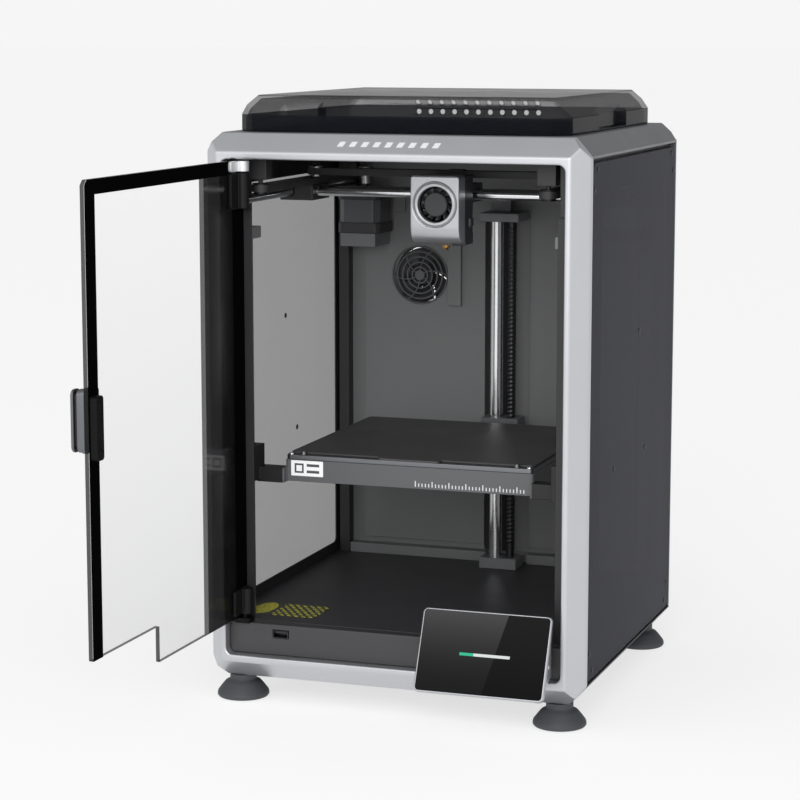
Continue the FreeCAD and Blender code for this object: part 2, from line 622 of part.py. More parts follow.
def drive_belts():
    """Side belts from motors to front idlers, and the belt that ties the lead screws together."""
    solids = []
    for side in (-1, 1):
        ends = [(side * BELT_X, -134), (side * MOTOR_XY[0], MOTOR_XY[1])]
        solids.append(belt_loop(ends, PULLEY_R - 0.1, SIDE_BELT_Z, BELT_W))
    solids.append(belt_loop(list(SCREWS.values()), 8.3, 58.7, BELT_W))
    return Part.makeCompound(solids)


def brackets():
    """Folded brackets of the motors and the clamps that hold the upright rods."""
    x, y = MOTOR_XY
    shelf = box((x - 17, x + 18), (y - 21, y + 20), (371.5, MOTOR_Z[0]))
    shelf = shelf.cut(box((x - 14, x + 15), (y - 18, y + 25), (374, 381)))
    x, y = SCREWS["front_right"]
    rod_y = SMOOTH_RODS[1][1]
    clamp = box((x - 8.5, x + 5.7), (y - 5.4, rod_y + 9), (398, 408))
    clamp = cut(clamp, [upright(SCREW_R + 0.4, x, y, 390, 405), upright(4.0, x, rod_y, 390, ROD_TOP)])
    rear_top = box((-8, 30), (108, BACK_WALL_Y - 3), (398, 406))
    gusset = box((-4, 15), (133, BACK_WALL_Y - 3), (406, 420))
    rear_low = box((-7, 29), (110, 135), (FLOOR_TOP, 80))
    screw = upright(SCREW_R + 0.4, *SCREWS["rear"], 60, 405)
    rod = upright(6.0, 5.6, 122, FLOOR_TOP, ROD_TOP)
    rear = [cut(join([rear_top, gusset]), [screw, rod]), cut(rear_low, [screw, rod])]
    return Part.makeCompound(mirrored_pair(shelf) + mirrored_pair(clamp) + rear)


# ---------------------------------------------------------------- Z axis
def z_rods():
    return Part.makeCompound([upright(r, x, y, FLOOR_TOP, ROD_TOP) for x, y, r in SMOOTH_RODS])


def lead_screw(name):
    """Screw with rings standing for its thread, and the toothed pulley under the floor."""
    x, y = SCREWS[name]
    shaft = upright(SCREW_R - 0.5, x, y, 57, 404)
    threads = [upright(SCREW_R, x, y, z, z + 2.0) for z in range(92, 396, 4)]
    toothed = upright(8.0, x, y, 58, 65.4)
    collar = upright(6.0, x, y, 56.6, 58)
    return join([shaft] + threads + [toothed, collar])


def z_motor():
    """Flat stepping motor under the rear lead screw."""
    x, y = SCREWS["rear"]
    return stepper(x, y, BODY_BOTTOM + 2.5, 52, 56.4)


# ---------------------------------------------------------------- gantry
def gantry_blocks():
    """End blocks that slide on the Y rods and hold the X rods."""
    solids = []
    for side in (-1, 1):
        x = (121.6, 153.0) if side > 0 else (-153.0, -121.6)
        block = box(x, (-25, 18), (423.8, 437.2))
        bores = [cylinder(ROD_R + 0.3, (side * Y_ROD_X, -30, ROD_Z), (0, 1, 0), 60)]
        bores += [cylinder(ROD_R, (side * 119, y, ROD_Z), (side, 0, 0), 16) for y in ROD_YS]
        bolt = upright(2.5, side * BELT_X, gantry_centre(), 437.2, GANTRY_BELT_Z + 8.2)
        cap = upright(4.2, side * BELT_X, gantry_centre(), GANTRY_BELT_Z + 8.2, GANTRY_BELT_Z + 10)
        washer = upright(3.6, side * BELT_X, gantry_centre(), 437.2, GANTRY_BELT_Z - 1.6)
        screw = upright(3.4, side * 143.5, -17, 437.2, 440.4)
        solids.append(join([cut(block, bores), bolt, cap, washer, screw]))
    return Part.makeCompound(solids)


def x_rods():
    return Part.makeCompound([cylinder(ROD_R, (-135, y, ROD_Z), (1, 0, 0), 270) for y in ROD_YS])


def gantry_belts():
    """Belt along X, from one gantry idler to the other."""
    ends = [(-BELT_X, gantry_centre()), (BELT_X, gantry_centre())]
    return belt_loop(ends, PULLEY_R - 0.1, GANTRY_BELT_Z, BELT_W)


def y_rods():
    return Part.makeCompound([cylinder(ROD_R, (x, Y_ROD_FRONT, ROD_Z), (0, 1, 0), Y_ROD_LENGTH)
                              for x in (-Y_ROD_X, Y_ROD_X)])


# ---------------------------------------------------------------- toolhead
def toolhead_cover():
    """Silver front cover with a round fan mouth and a chin that curves under."""
    x, y = (HEAD_X - 22, HEAD_X + 22), HEAD_FACE
    quarter = [math.radians(angle) for angle in range(0, 91, 10)]
    chin = [(y + CHIN_REACH * (1 - math.cos(a)), 392.5 + CHIN_RISE * (1 - math.sin(a))) for a in quarter]
    side = chin + [(y + 18, 392.5), (y + 18, 451), (y + 1, 451), (y, 450)]
    shell = prism([Vector(x[0], a, b) for a, b in side], (x[1] - x[0], 0, 0))
    corners = prism([Vector(a, y, b) for a, b in cut_corners(x, (380, 451.5), 2.5, 2.5)], (0, 40, 0))
    hollow = box((x[0] + 2, x[1] - 2), (y + 7.5, y + 30), (396, 448.5))
    mouth = cylinder(15.2, (HEAD_X, y - 1, 426), (0, 1, 0), 12)
    ring = cylinder(19.5, (HEAD_X, y - 1, 426), (0, 1, 0), 1.8)
    ring = ring.cut(cylinder(18.6, (HEAD_X, y - 2, 426), (0, 1, 0), 4))
    return cut(shell.common(corners), [hollow, mouth, ring])


def toolhead_carriage():
    """Dark rear shell with the fan duct, and the block that runs on the X rods."""
    x = (HEAD_X - 21, HEAD_X + 21)
    back = HEAD_FACE + 18.2
    shell = box(x, (back, -24), (400, 450))
    shell = shell.cut(box((x[0] + 2.5, x[1] - 2.5), (back - 1, -27), (395, 447)))
    fan_wall = box((x[0] + 2.5, x[1] - 2.5), (back, back + 2), (404, 447))
    fan_wall = fan_wall.cut(cylinder(14, (HEAD_X, back - 1, 426), (0, 1, 0), 5))
    duct = box((x[1] - 12, x[1]), (back + 4, -22), (389.5, 400))
    light = box((x[1] - 1, x[1] + 2.6), (back + 12, back + 20), (405, 413))
    block = box((HEAD_X - 17, HEAD_X + 17), (-24, 18), (424.2, 440.5))
    bores = [cylinder(ROD_R + 0.3, (HEAD_X - 30, y, ROD_Z), (1, 0, 0), 60) for y in ROD_YS]
    clamp = box((HEAD_X - 7, HEAD_X + 7), (gantry_centre() - 4.5, gantry_centre() + 4.5), (440.5, 453))
    return join([shell, fan_wall, duct, light, cut(block, bores), clamp])


def hotend():
    """Finned heat sink, heater block and brass nozzle."""
    x, y, tip = NOZZLE
    fins = [box((x - 11, x + 11), (y - 8, y + 6.5), (z, z + 1.6)) for z in range(406, 428, 4)]
    core = upright(4, x, y, 401, 430)
    heater = box((x - 8, x + 8), (y - 7, y + 9), (389, 399))
    neck = upright(2, x, y, 399, 401)
    nozzle = turned([(0, tip), (1.2, tip), (3.2, tip + 2.5), (3.2, 389), (0, 389)], x, y)
    mount = box((x - 18.4, x + 18.4), (y - 6, y + 6), (430, 433))
    return join(fins + [core, heater, neck, nozzle, mount])


def extruder_gear():
    """Drive gear that pushes the filament."""
    x, y = NOZZLE[0] - 7, NOZZLE[1]
    wheel = cylinder(6.0, (x, y - 4, 440), (0, 1, 0), 8)
    teeth = [Part.makeBox(1.0, 7, 1.2, Vector(x - 0.5, y - 3.5, 445.6)).rotated(
        Vector(x, y, 440), Vector(0, 1, 0), 15 * i) for i in range(24)]
    return join([wheel] + teeth)


# ---------------------------------------------------------------- bed
def bed_frame():
    """Hollow tray under the bed, its three arms and the nut blocks that ride the screws."""
    tray = rounded_plate((-BED_X, BED_X), BED_Y, 3, "z", BED_LOW, BED_TOP - 4.0 - BED_LOW)
    hollow = box((-BED_X + 2, BED_X - 2), (BED_Y[0] + 2, BED_Y[1] - 2), (BED_LOW - 1, BED_TOP - 6))
    ribs = [box((-BED_X + 2, BED_X - 2), (y, y + 3), (BED_LOW + 4, BED_TOP - 6)) for y in (-60, 20)]
    pieces = [tray.cut(hollow)] + ribs
    for side in (-1, 1):
        arm = box(sorted((side * (BED_X - 1), side * 136)), (-126, -112), (BED_LOW - 1, 200))
        block = box(sorted((side * 133, side * 148)), (-142.6, -114), (BED_LOW + 1, 219))
        pieces += [arm, block]
    pieces.append(box((-12, 30), (BED_Y[1] - 1, 112), (BED_LOW, 202)))
    pieces.append(box((-6, 30), (110, 134), (BED_LOW - 6, 214)))
    holes = [upright(SCREW_R + 0.3, x, y, 100, 300) for x, y in SCREWS.values()]
    holes += [upright(r + 0.3, x, y, 100, 300) for x, y, r in SMOOTH_RODS]
    return cut(join(pieces), holes)


def heated_bed():
    """Aluminium bed plate with its two front locating pegs and four corner screws."""
    plate = rounded_plate((-BED_X + 0.5, BED_X - 0.5), (BED_Y[0] + 0.5, BED_Y[1] - 0.5), 4, "z", BED_TOP - 4, 4)
    pegs = [upright(2.5, x, BED_Y[0] + 4.5, BED_TOP, BED_TOP + 3) for x in (-96, 96)]
    return join([plate] + pegs)


def build_plate():
    """Flexible coated steel sheet with a grip tab in front."""
    sheet = rounded_plate((-BED_X + 2, BED_X - 2), (BED_Y[0] + 8.5, BED_Y[1] - 1), 4, "z", BED_TOP + 0.02, 1.6)
    tab = rounded_plate((-28, 28), (BED_Y[0] + 0.5, BED_Y[0] + 14), 4, "z", BED_TOP + 0.02, 1.6)
    return join([sheet, tab])


# ---------------------------------------------------------------- rear fittings
def spool_holder():
    """Spindle behind the printer that a filament spool hangs on."""
    x, z = SPOOL
    y = BACK - 2.5
    plate = rounded_plate((x - 30, x + 30), (z - 38, z + 30), 8, "y", y, 5)
    spindle = cylinder(SPOOL_R, (x, y + 5, z), (0, 1, 0), SPOOL_LENGTH)
    lip = cylinder(SPOOL_R + 6, (x, y + 5 + SPOOL_LENGTH, z), (0, 1, 0), 4)
    gusset = prism([Vector(x - 3, y + 5, z - 36), Vector(x - 3, y + 5, z - 10), Vector(x - 3, y + 40, z - 10)],
                   (6, 0, 0))
    return join([plate, spindle, lip, gusset])


def filament_sensor():
    """Run-out sensor box with the tube coupler on its side."""
    y = BACK - 2.5
    case = rounded_plate((97, 123), (418, 452), 3, "y", y, 16)
    coupler = cylinder(5, (110, y + 8, 404), (0, 0, 1), 15)
    coupler = coupler.cut(cylinder(2.1, (110, y + 8, 400), (0, 0, 1), 30))
    return join([case.cut(cylinder(2.1, (110, y + 8, 410), (0, 0, 1), 12)), coupler])


# ---------------------------------------------------------------- the list of pieces
def pieces():
    block = body_block()
    fan_y = BACK_WALL_Y + LINER + 0.6
    nodes = {
        "front_frame": front_frame(block), "top_frame": top_frame(block), "base_tray": base_tray(block),
        "rear_posts": rear_posts(block), "left_panel": side_panel(-1), "right_panel": side_panel(1),
        "back_panel": back_panel(), "panel_screws": panel_screws(), "feet": feet(),
        "side_liners": side_liners(), "inner_columns": inner_columns(),
        "inner_back_wall": inner_back_wall(), "top_rails": top_rails(), "floor_plate": floor_plate(),
        "chin_panel": chin_panel(), "usb_port": usb_port(), "lid": lid(),
        "door_glass": door_glass(), "door_border": door_border(), "door_handle": door_handle(),
        "door_latch": door_latch(), "door_hinge_clamps": door_hinge_clamps(),
        "hinge_pins": hinge_pins(), "screen_display": screen_display(),
        "screen_housing": screen_housing(), "power_supply": power_supply(),
        "control_board": control_board(), "power_switch": power_switch(),
        "power_inlet": Part.makeCompound([power_inlet(), switch_frame()]),
        "exhaust_fan_housing": exhaust_fan_housing(),
        "exhaust_fan_rotor": fan_rotor(FAN_X, fan_y, FAN_Z, 11, 27, 7.5, 7),
        "exhaust_grille": exhaust_grille(), "xy_motors": xy_motors(), "brackets": brackets(),
        "drive_belts": drive_belts(), "y_rods": y_rods(), "z_rods": z_rods(), "z_motor": z_motor(),
        "gantry_blocks": gantry_blocks(), "x_rods": x_rods(), "gantry_belts": gantry_belts(),
        "toolhead_cover": toolhead_cover(), "toolhead_carriage": toolhead_carriage(),
        "toolhead_fan": fan_rotor(HEAD_X, HEAD_FACE + 2.2, 426, 10.5, 14.6, 5.0, 9),
        "hotend": hotend(), "extruder_gear": extruder_gear(), "bed_frame": bed_frame(),
        "heated_bed": heated_bed(), "build_plate": build_plate(), "spool_holder": spool_holder(),
        "filament_sensor": filament_sensor(),
    }
    for name in SCREWS:
        nodes["lead_screw_" + name] = lead_screw(name)
    for side, name in ((-1, "left"), (1, "right")):
        nodes["motor_pulley_" + name] = motor_pulley(side)
        nodes["front_idler_" + name] = front_idler(side)
        nodes["gantry_idler_" + name] = gantry_idler(side)
    return nodes


for node, shape in pieces().items():
    shape.translated(Vector(0, -ORIGIN_Y, 0)).exportStep("parts/" + node + ".step")
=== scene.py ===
import json
import math

import bmesh
import bpy
import numpy as np
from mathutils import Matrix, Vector

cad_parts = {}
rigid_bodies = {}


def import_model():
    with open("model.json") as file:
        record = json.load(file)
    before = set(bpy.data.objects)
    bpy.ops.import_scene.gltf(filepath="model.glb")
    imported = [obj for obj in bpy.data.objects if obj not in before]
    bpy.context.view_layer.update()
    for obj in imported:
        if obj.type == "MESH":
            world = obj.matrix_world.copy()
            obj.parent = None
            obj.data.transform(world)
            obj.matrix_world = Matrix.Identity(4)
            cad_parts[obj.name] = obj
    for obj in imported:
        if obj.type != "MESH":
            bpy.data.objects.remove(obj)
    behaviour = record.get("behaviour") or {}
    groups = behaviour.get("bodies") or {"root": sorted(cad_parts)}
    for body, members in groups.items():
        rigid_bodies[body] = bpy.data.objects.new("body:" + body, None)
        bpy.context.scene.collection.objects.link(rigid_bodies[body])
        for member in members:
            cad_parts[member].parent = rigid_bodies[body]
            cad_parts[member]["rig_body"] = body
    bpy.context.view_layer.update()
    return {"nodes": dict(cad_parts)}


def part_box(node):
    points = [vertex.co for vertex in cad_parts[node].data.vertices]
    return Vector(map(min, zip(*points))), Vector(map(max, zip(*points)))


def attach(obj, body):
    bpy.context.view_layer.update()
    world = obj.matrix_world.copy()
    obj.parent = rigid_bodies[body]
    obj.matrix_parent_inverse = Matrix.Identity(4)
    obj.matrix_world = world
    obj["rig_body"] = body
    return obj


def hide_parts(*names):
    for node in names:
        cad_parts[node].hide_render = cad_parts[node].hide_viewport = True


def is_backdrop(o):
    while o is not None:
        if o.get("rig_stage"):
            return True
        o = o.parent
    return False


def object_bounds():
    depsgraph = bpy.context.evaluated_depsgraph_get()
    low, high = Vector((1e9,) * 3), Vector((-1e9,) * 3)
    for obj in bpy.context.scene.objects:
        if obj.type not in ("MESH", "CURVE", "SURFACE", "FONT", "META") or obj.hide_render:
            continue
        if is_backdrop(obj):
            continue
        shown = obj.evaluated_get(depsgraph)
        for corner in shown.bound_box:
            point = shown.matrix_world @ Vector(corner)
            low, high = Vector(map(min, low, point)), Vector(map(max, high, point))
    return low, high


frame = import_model()


# ------------------------------------------------------------------ base tray
# The tray is a folded steel pan that closes the bottom of the printer and carries the electronics.
# It is powder coated near black, and its corners are cut off like those of the whole body.

def tone(red, green, blue):
    """Linear colour of a paint-chip value from 0 to 255: ((v / 255 + 0.055) / 1.055) to the power 2.4."""
    return tuple(((v / 255 + 0.055) / 1.055) ** 2.4 for v in (red, green, blue)) + (1.0,)


class Wire:
    """An output of a finish's node tree. Arithmetic on it adds the Math node that works it out."""

    def __init__(self, finish, socket):
        self.finish = finish
        self.socket = socket

    def sum_up(self, operation, first, second):
        """The wire out of a Math node doing that operation on first and second."""
        return self.finish.node("ShaderNodeMath", {"operation": operation}, {0: first, 1: second})

    def __add__(self, other):
        return self.sum_up("ADD", self, other)

    def __radd__(self, other):
        return self.sum_up("ADD", other, self)

    def __sub__(self, other):
        return self.sum_up("SUBTRACT", self, other)

    def __rsub__(self, other):
        return self.sum_up("SUBTRACT", other, self)

    def __mul__(self, other):
        return self.sum_up("MULTIPLY", self, other)

    def __rmul__(self, other):
        return self.sum_up("MULTIPLY", other, self)

    def __pow__(self, other):
        return self.sum_up("POWER", self, other)

    def __gt__(self, other):
        return self.sum_up("GREATER_THAN", self, other)

    def __lt__(self, other):
        return self.sum_up("LESS_THAN", self, other)


class Finish:
    """One surface finish: a material whose shader takes plain values, or wires where it varies."""

    def __init__(self, name, **plain):
        self.material = bpy.data.materials.new(name)
        self.material.use_nodes = True
        self.tree = self.material.node_tree
        self.shader = self.tree.nodes["Principled BSDF"]
        self.place = self.node("ShaderNodeTexCoord", output="Object")
        self.feed(**plain)

    def node(self, kind, settings=None, sockets=None, output=0):
        """Adds a node of that kind, with its settings, then the values or wires of its sockets."""
        made = self.tree.nodes.new(kind)
        for key, value in (settings or {}).items():
            setattr(made, key, value)
        for key, value in (sockets or {}).items():
            self.join(made.inputs[key], value)
        return Wire(self, made.outputs[output])

    def join(self, socket, value):
        """Links a wire to a socket, or sets the socket to a plain value."""
        if isinstance(value, Wire):
            self.tree.links.new(value.socket, socket)
        else:
            socket.default_value = value

    def feed(self, **sockets):
        """Joins wires or values to the shader's sockets, named with _ for a space."""
        for key, value in sockets.items():
            self.join(self.shader.inputs[key.replace("_", " ")], value)

    def grain(self, size, detail=2.0, squeeze=(1, 1, 1)):
        """Noise from 0 to 1 with spots of about size metres, squeezed along each axis."""
        place = self.node("ShaderNodeMapping", {}, {"Vector": self.place, "Scale": squeeze})
        return self.node("ShaderNodeTexNoise", {}, {"Vector": place, "Scale": 1 / size, "Detail": detail})

    def shade(self, colour, amount):
        """The colour times a wired amount."""
        return self.node("ShaderNodeVectorMath", {"operation": "SCALE"}, {0: colour[:3], "Scale": amount})

    def blend(self, share, first, second):
        """first × (1 − share) + second × share, for colours."""
        return self.node("ShaderNodeMix", {"data_type": "RGBA"}, {0: share, 6: first, 7: second}, 2)

    def axis(self, name, source=None):
        """One coordinate, X, Y or Z, of the place on the piece or of another vector."""
        return self.node("ShaderNodeSeparateXYZ", {}, {0: source or self.place}, name)

    def relief(self, height, depth):
        """Feeds the shader's normal with a bump of that depth in metres."""
        self.feed(Normal=self.node("ShaderNodeBump", {}, {"Height": height, "Distance": depth}))


def coated(name, colour, rough, grain, depth, cloud=0.16, speck=0.12, **plain):
    """Paint, powder coat or moulded plastic.
    Colour = colour × (1 + cloud × (broad noise − ½) + speck × (grain noise − ½)).
    Roughness = rough + 0.16 × (broad noise − ½), and the bump is the grain noise times depth."""
    finish = Finish(name, **plain)
    broad = finish.grain(0.045, 4.0)
    fine = finish.grain(grain, 3.0)
    finish.feed(Base_Color=finish.shade(colour, 1 + cloud * (broad - 0.5) + speck * (fine - 0.5)))
    finish.feed(Roughness=rough + 0.16 * (broad - 0.5))
    finish.relief(fine, depth)
    return finish.material


def dress(piece, body, finish, nodes):
    """Gives a piece its finish, its body and the CAD nodes that it stands for."""
    piece.data.materials.append(finish)
    bpy.context.scene.collection.objects.link(piece)
    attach(piece, body)
    if nodes:
        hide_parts(*nodes)
    return piece


def softened(node, name, edge, finish, steps=2):
    """A welded copy of a CAD node's surface with every sharp edge rounded by edge metres."""
    source = frame["nodes"][node]
    count = len(source.data.vertices)
    points = np.empty(count * 3, np.float32)
    source.data.vertices.foreach_get("co", points)
    corners = np.empty(len(source.data.loops), np.int32)
    source.data.loops.foreach_get("vertex_index", corners)
    mesh = bpy.data.meshes.new(name)
    mesh.from_pydata(points.reshape(-1, 3).tolist(), [], corners.reshape(-1, 3).tolist())
    welded = bmesh.new()
    welded.from_mesh(mesh)
    bmesh.ops.remove_doubles(welded, verts=welded.verts, dist=1e-5)
    bmesh.ops.dissolve_limit(welded, angle_limit=math.radians(0.5), verts=welded.verts, edges=welded.edges)
    welded.to_mesh(mesh)
    welded.free()
    mesh.polygons.foreach_set("use_smooth", np.ones(len(mesh.polygons), bool))
    piece = bpy.data.objects.new(name, mesh)
    rounding = piece.modifiers.new("rounding", "BEVEL")
    rounding.width = edge
    rounding.segments = steps
    rounding.limit_method = "ANGLE"
    rounding.angle_limit = math.radians(32)
    rounding.use_clamp_overlap = False
    piece.modifiers.new("flat faces", "WEIGHTED_NORMAL").keep_sharp = True
    return dress(piece, source["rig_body"], finish, [node])


near_black = coated("black powder coat", tone(32, 33, 35), 0.52, 0.0007, 0.00006, Specular_IOR_Level=0.3)
softened("base_tray", "tray_pan", 0.0009, near_black)


# ------------------------------------------------------------------ supply, board and Z motor
# Under the chamber floor stand the caged mains supply, the printed control board and the flat motor
# that turns the three lead screws. The cage is bare folded sheet, and the board is green laminate.

def bare_metal(name, colour, rough, squeeze=(1, 1, 1), streak=0.14):
    """Ground or drawn metal: colour × (1 + streak × (streak noise − ½) + 0.10 × (broad noise − ½)),
    roughness = rough + 0.12 × (broad noise − ½) + 0.06 × (streak noise − ½). The streak noise is
    squeezed along the way the metal was worked."""
    finish = Finish(name, Metallic=1.0)
    streaks = finish.grain(0.0006, 3.0, squeeze)
    broad = finish.grain(0.03, 3.0)
    finish.feed(Base_Color=finish.shade(colour, 1 + streak * (streaks - 0.5) + 0.10 * (broad - 0.5)))
    finish.feed(Roughness=rough + 0.12 * (broad - 0.5) + 0.06 * (streaks - 0.5))
    finish.relief(streaks, 0.00001)
    return finish.material


def board_laminate():
    """Green laminate up to the board's upper face, and dark grey parts above it."""
    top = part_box("control_board")[0].z + 0.0087
    finish = Finish("board laminate")
    fine = finish.grain(0.0012, 2.0)
    tracks = finish.grain(0.004, 0.0, (1, 0.15, 1)) > 0.56
    laminate = finish.blend(tracks, tone(16, 84, 44), tone(28, 112, 60))
    parts = finish.shade(tone(58, 59, 62), 1 + 0.5 * (fine - 0.5))
    finish.feed(Base_Color=finish.blend(finish.axis("Z") > top, laminate, parts))
    finish.feed(Roughness=0.33 + 0.10 * fine)
    finish.relief(fine, 0.00004)
    return finish.material


def motor_bands(name, node, foot, head):
    """Black end caps with a bright laminated stack between heights foot and head above the base:
    stripe = fraction of (height / 0.7 mm), and the steel is its colour × (0.75 + 0.5 × stripe)."""
    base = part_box(node)[0].z
    finish = Finish(name)
    height = finish.axis("Z")
    stack = (height > base + foot) * (height < base + head)
    stripe = finish.node("ShaderNodeMath", {"operation": "FRACT"}, {0: height * 1400.0})
    fine = finish.grain(0.0008, 2.0)
    steel = finish.shade(tone(96, 97, 99), 0.75 + 0.5 * stripe)
    cap = finish.shade(tone(44, 44, 47), 1 + 0.3 * (fine - 0.5))
    finish.feed(Base_Color=finish.blend(stack, cap, steel), Metallic=0.65 * stack)
    finish.feed(Roughness=0.5 - 0.12 * stack + 0.1 * (fine - 0.5))
    finish.relief(stripe * stack + 0.3 * fine, 0.00008)
    return finish.material


zinc_sheet = bare_metal("zinc sheet", tone(168, 170, 172), 0.42, (0.1, 1, 1))
softened("power_supply", "supply_cage", 0.0006, zinc_sheet)
softened("control_board", "main_board", 0.0003, board_laminate(), 1)
flat_motor = motor_bands("flat motor steel", "z_motor", 0.010, 0.021)
softened("z_motor", "z_drive_motor", 0.0006, flat_motor)


# ------------------------------------------------------------------ feet
# Four flared feet, turned from soft rubber with a rounded sole and a short neck, screwed up into
# the tray. Their skin is matt, with a blotchy tone.

def wall_faces(rows, columns, ring_rows=False, ring_columns=False):
    """Quads of points numbered row by row: (r, c), (r, c + 1), (r + 1, c + 1), (r + 1, c)."""
    last_row, last_column = rows - (not ring_rows), columns - (not ring_columns)
    r, c = np.meshgrid(np.arange(last_row), np.arange(last_column), indexing="ij")
    after_r, after_c = (r + 1) % rows, (c + 1) % columns
    quads = [r * columns + c, r * columns + after_c, after_r * columns + after_c, after_r * columns + c]
    return np.stack(quads, -1).reshape(-1, 4)


def skin(name, grids, body, finish, nodes=(), rings=(False, True), crease=38):
    """One mesh from point grids shaped (rows, columns, 3). A row drawn to one point closes an end.
    Doubles are merged, normals turned outwards, and edges over crease degrees stay sharp."""
    faces, points, start = [], [], 0
    for grid in grids:
        rows, columns = grid.shape[:2]
        faces.append(wall_faces(rows, columns, *rings) + start)
        points.append(grid.reshape(-1, 3))
        start += rows * columns
    mesh = bpy.data.meshes.new(name)
    mesh.from_pydata(np.concatenate(points).tolist(), [], np.concatenate(faces).tolist())
    joined = bmesh.new()
    joined.from_mesh(mesh)
    bmesh.ops.remove_doubles(joined, verts=joined.verts, dist=2e-6)
    bmesh.ops.dissolve_degenerate(joined, edges=joined.edges, dist=1e-7)
    bmesh.ops.recalc_face_normals(joined, faces=joined.faces)
    joined.to_mesh(mesh)
    joined.free()
    mesh.polygons.foreach_set("use_smooth", np.ones(len(mesh.polygons), bool))
    mesh.set_sharp_from_angle(angle=math.radians(crease))
    return dress(bpy.data.objects.new(name, mesh), body, finish, nodes)


def turned(profile, centre, axis="z", columns=48, lobes=None):
    """A profile of (radius, height) turned about an axis through centre:
    across = radius × cos a, beside = radius × sin a, along = height.
    lobes takes the angle and gives a factor on each row's radius, for teeth and sockets."""
    profile = np.asarray(profile, float)
    angle = np.linspace(0, 2 * math.pi, columns, endpoint=False)
    radius = profile[:, :1] * (np.ones(columns) if lobes is None else lobes(angle))
    height = np.broadcast_to(profile[:, 1:], radius.shape)
    across, beside = radius * np.cos(angle), radius * np.sin(angle)
    order = {"z": (across, beside, height), "y": (beside, height, across), "x": (height, across, beside)}[axis]
    return np.stack(order, -1) + np.asarray(centre, float)


def solids(node):
    """Lowest and highest corner of each separate solid of a CAD node: every triangle spreads its
    lowest corner number over its corners until nothing changes."""
    mesh = frame["nodes"][node].data
    points = np.empty(len(mesh.vertices) * 3, np.float32)
    mesh.vertices.foreach_get("co", points)
    corners = np.empty(len(mesh.loops), np.int32)
    mesh.loops.foreach_get("vertex_index", corners)
    places, same = np.unique(np.round(points.reshape(-1, 3), 6), axis=0, return_inverse=True)
    triangles = same.reshape(-1)[corners].reshape(-1, 3)
    label, before = np.arange(len(places)), None
    while before is None or (label != before).any():
        before = label.copy()
        np.minimum.at(label, triangles, label[triangles].min(1)[:, None])
        label = label[label]
    return [(places[label == one].min(0), places[label == one].max(0)) for one in np.unique(label)]


foot_profile = [(0, 0), (0.0190, 0), (0.0214, 0.0005), (0.0225, 0.0018), (0.0225, 0.0036), (0.0220, 0.0052),
                (0.0190, 0.0092), (0.0163, 0.0125), (0.0152, 0.0136), (0.0128, 0.0146), (0.0115, 0.0158),
                (0.0115, 0.0205), (0, 0.0205)]
foot_rubber = coated("foot rubber", tone(56, 58, 62), 0.62, 0.0011, 0.00005, 0.3, 0.2)
feet_at = [((low + high) / 2, low) for low, high in solids("feet")]
skin("foot_cones", [turned(foot_profile, (middle[0], middle[1], 0), columns=64) for middle, low in feet_at],
     "body", foot_rubber, ["feet"])


# ------------------------------------------------------------------ outer frame
# The bezel is one die casting round the door opening, in satin silver with a fine metallic flake.
# The ring under the lid and the two rear corner posts are moulded in dark grey and screwed to it.

silver = coated("silver paint", tone(193, 194, 198), 0.33, 0.0005, 0.000012, 0.05, 0.10,
                Metallic=0.80, Specular_IOR_Level=0.5)
ring_grey = coated("ring grey", tone(108, 109, 113), 0.40, 0.0006, 0.00002, 0.07, 0.08, Metallic=0.35)
softened("front_frame", "bezel", 0.0016, silver, 3)
softened("top_frame", "lid_ring", 0.0014, ring_grey, 3)
softened("rear_posts", "rear_corner_posts", 0.0012, ring_grey, 3)


# ------------------------------------------------------------------ chamber sheet metal
# Folded steel makes the chamber: floor, back wall, side liners with windows, corner columns and
# the ring of rails on top, all powder coated. A thin dark sheet in front of the left column is painted
# shade along the opening's edge, and a black sheet in the channel behind the rear rod is painted shade.

def rounded_loop(a, b, radius, turn=6):
    """Corner points, in order, of a rectangle from a[0], b[0] to a[1], b[1] with rounded corners:
    centre of the corner + radius × (cos t, sin t), t a quarter turn per corner."""
    t = np.linspace(0, math.pi / 2, turn)
    loops = []
    for corner, (ca, cb) in enumerate(((1, 1), (0, 1), (0, 0), (1, 0))):
        middle_a = a[1] - radius if ca else a[0] + radius
        middle_b = b[1] - radius if cb else b[0] + radius
        loops.append(np.stack([middle_a + radius * np.cos(t + corner * math.pi / 2),
                               middle_b + radius * np.sin(t + corner * math.pi / 2)], -1))
    return np.concatenate(loops)


def plate(a, b, radius, thick_axis, low, high, edge):
    """A rounded plate, as rings of one loop: drawn to its middle, then inset by edge, full twice,
    inset by edge and drawn to its middle again, at heights low, low, low + edge, high − edge, high, high."""
    loop = rounded_loop(a, b, radius)
    middle = np.array([(a[0] + a[1]) / 2, (b[0] + b[1]) / 2])
    size = np.array([a[1] - a[0], b[1] - b[0]])
    inset = middle + (loop - middle) * (1 - 2 * edge / size)
    flat = [middle + 0 * loop, inset, loop, loop, inset, middle + 0 * loop]
    level = [low, low, low + edge, high - edge, high, high]
    rows = []
    for ring, height in zip(flat, level):
        upright = np.full(len(ring), height)
        first, second = ring[:, 0], ring[:, 1]
        order = {"z": (first, second, upright), "y": (first, upright, second), "x": (upright, first, second)}
        rows.append(np.stack(order[thick_axis], -1))
    return np.array(rows)


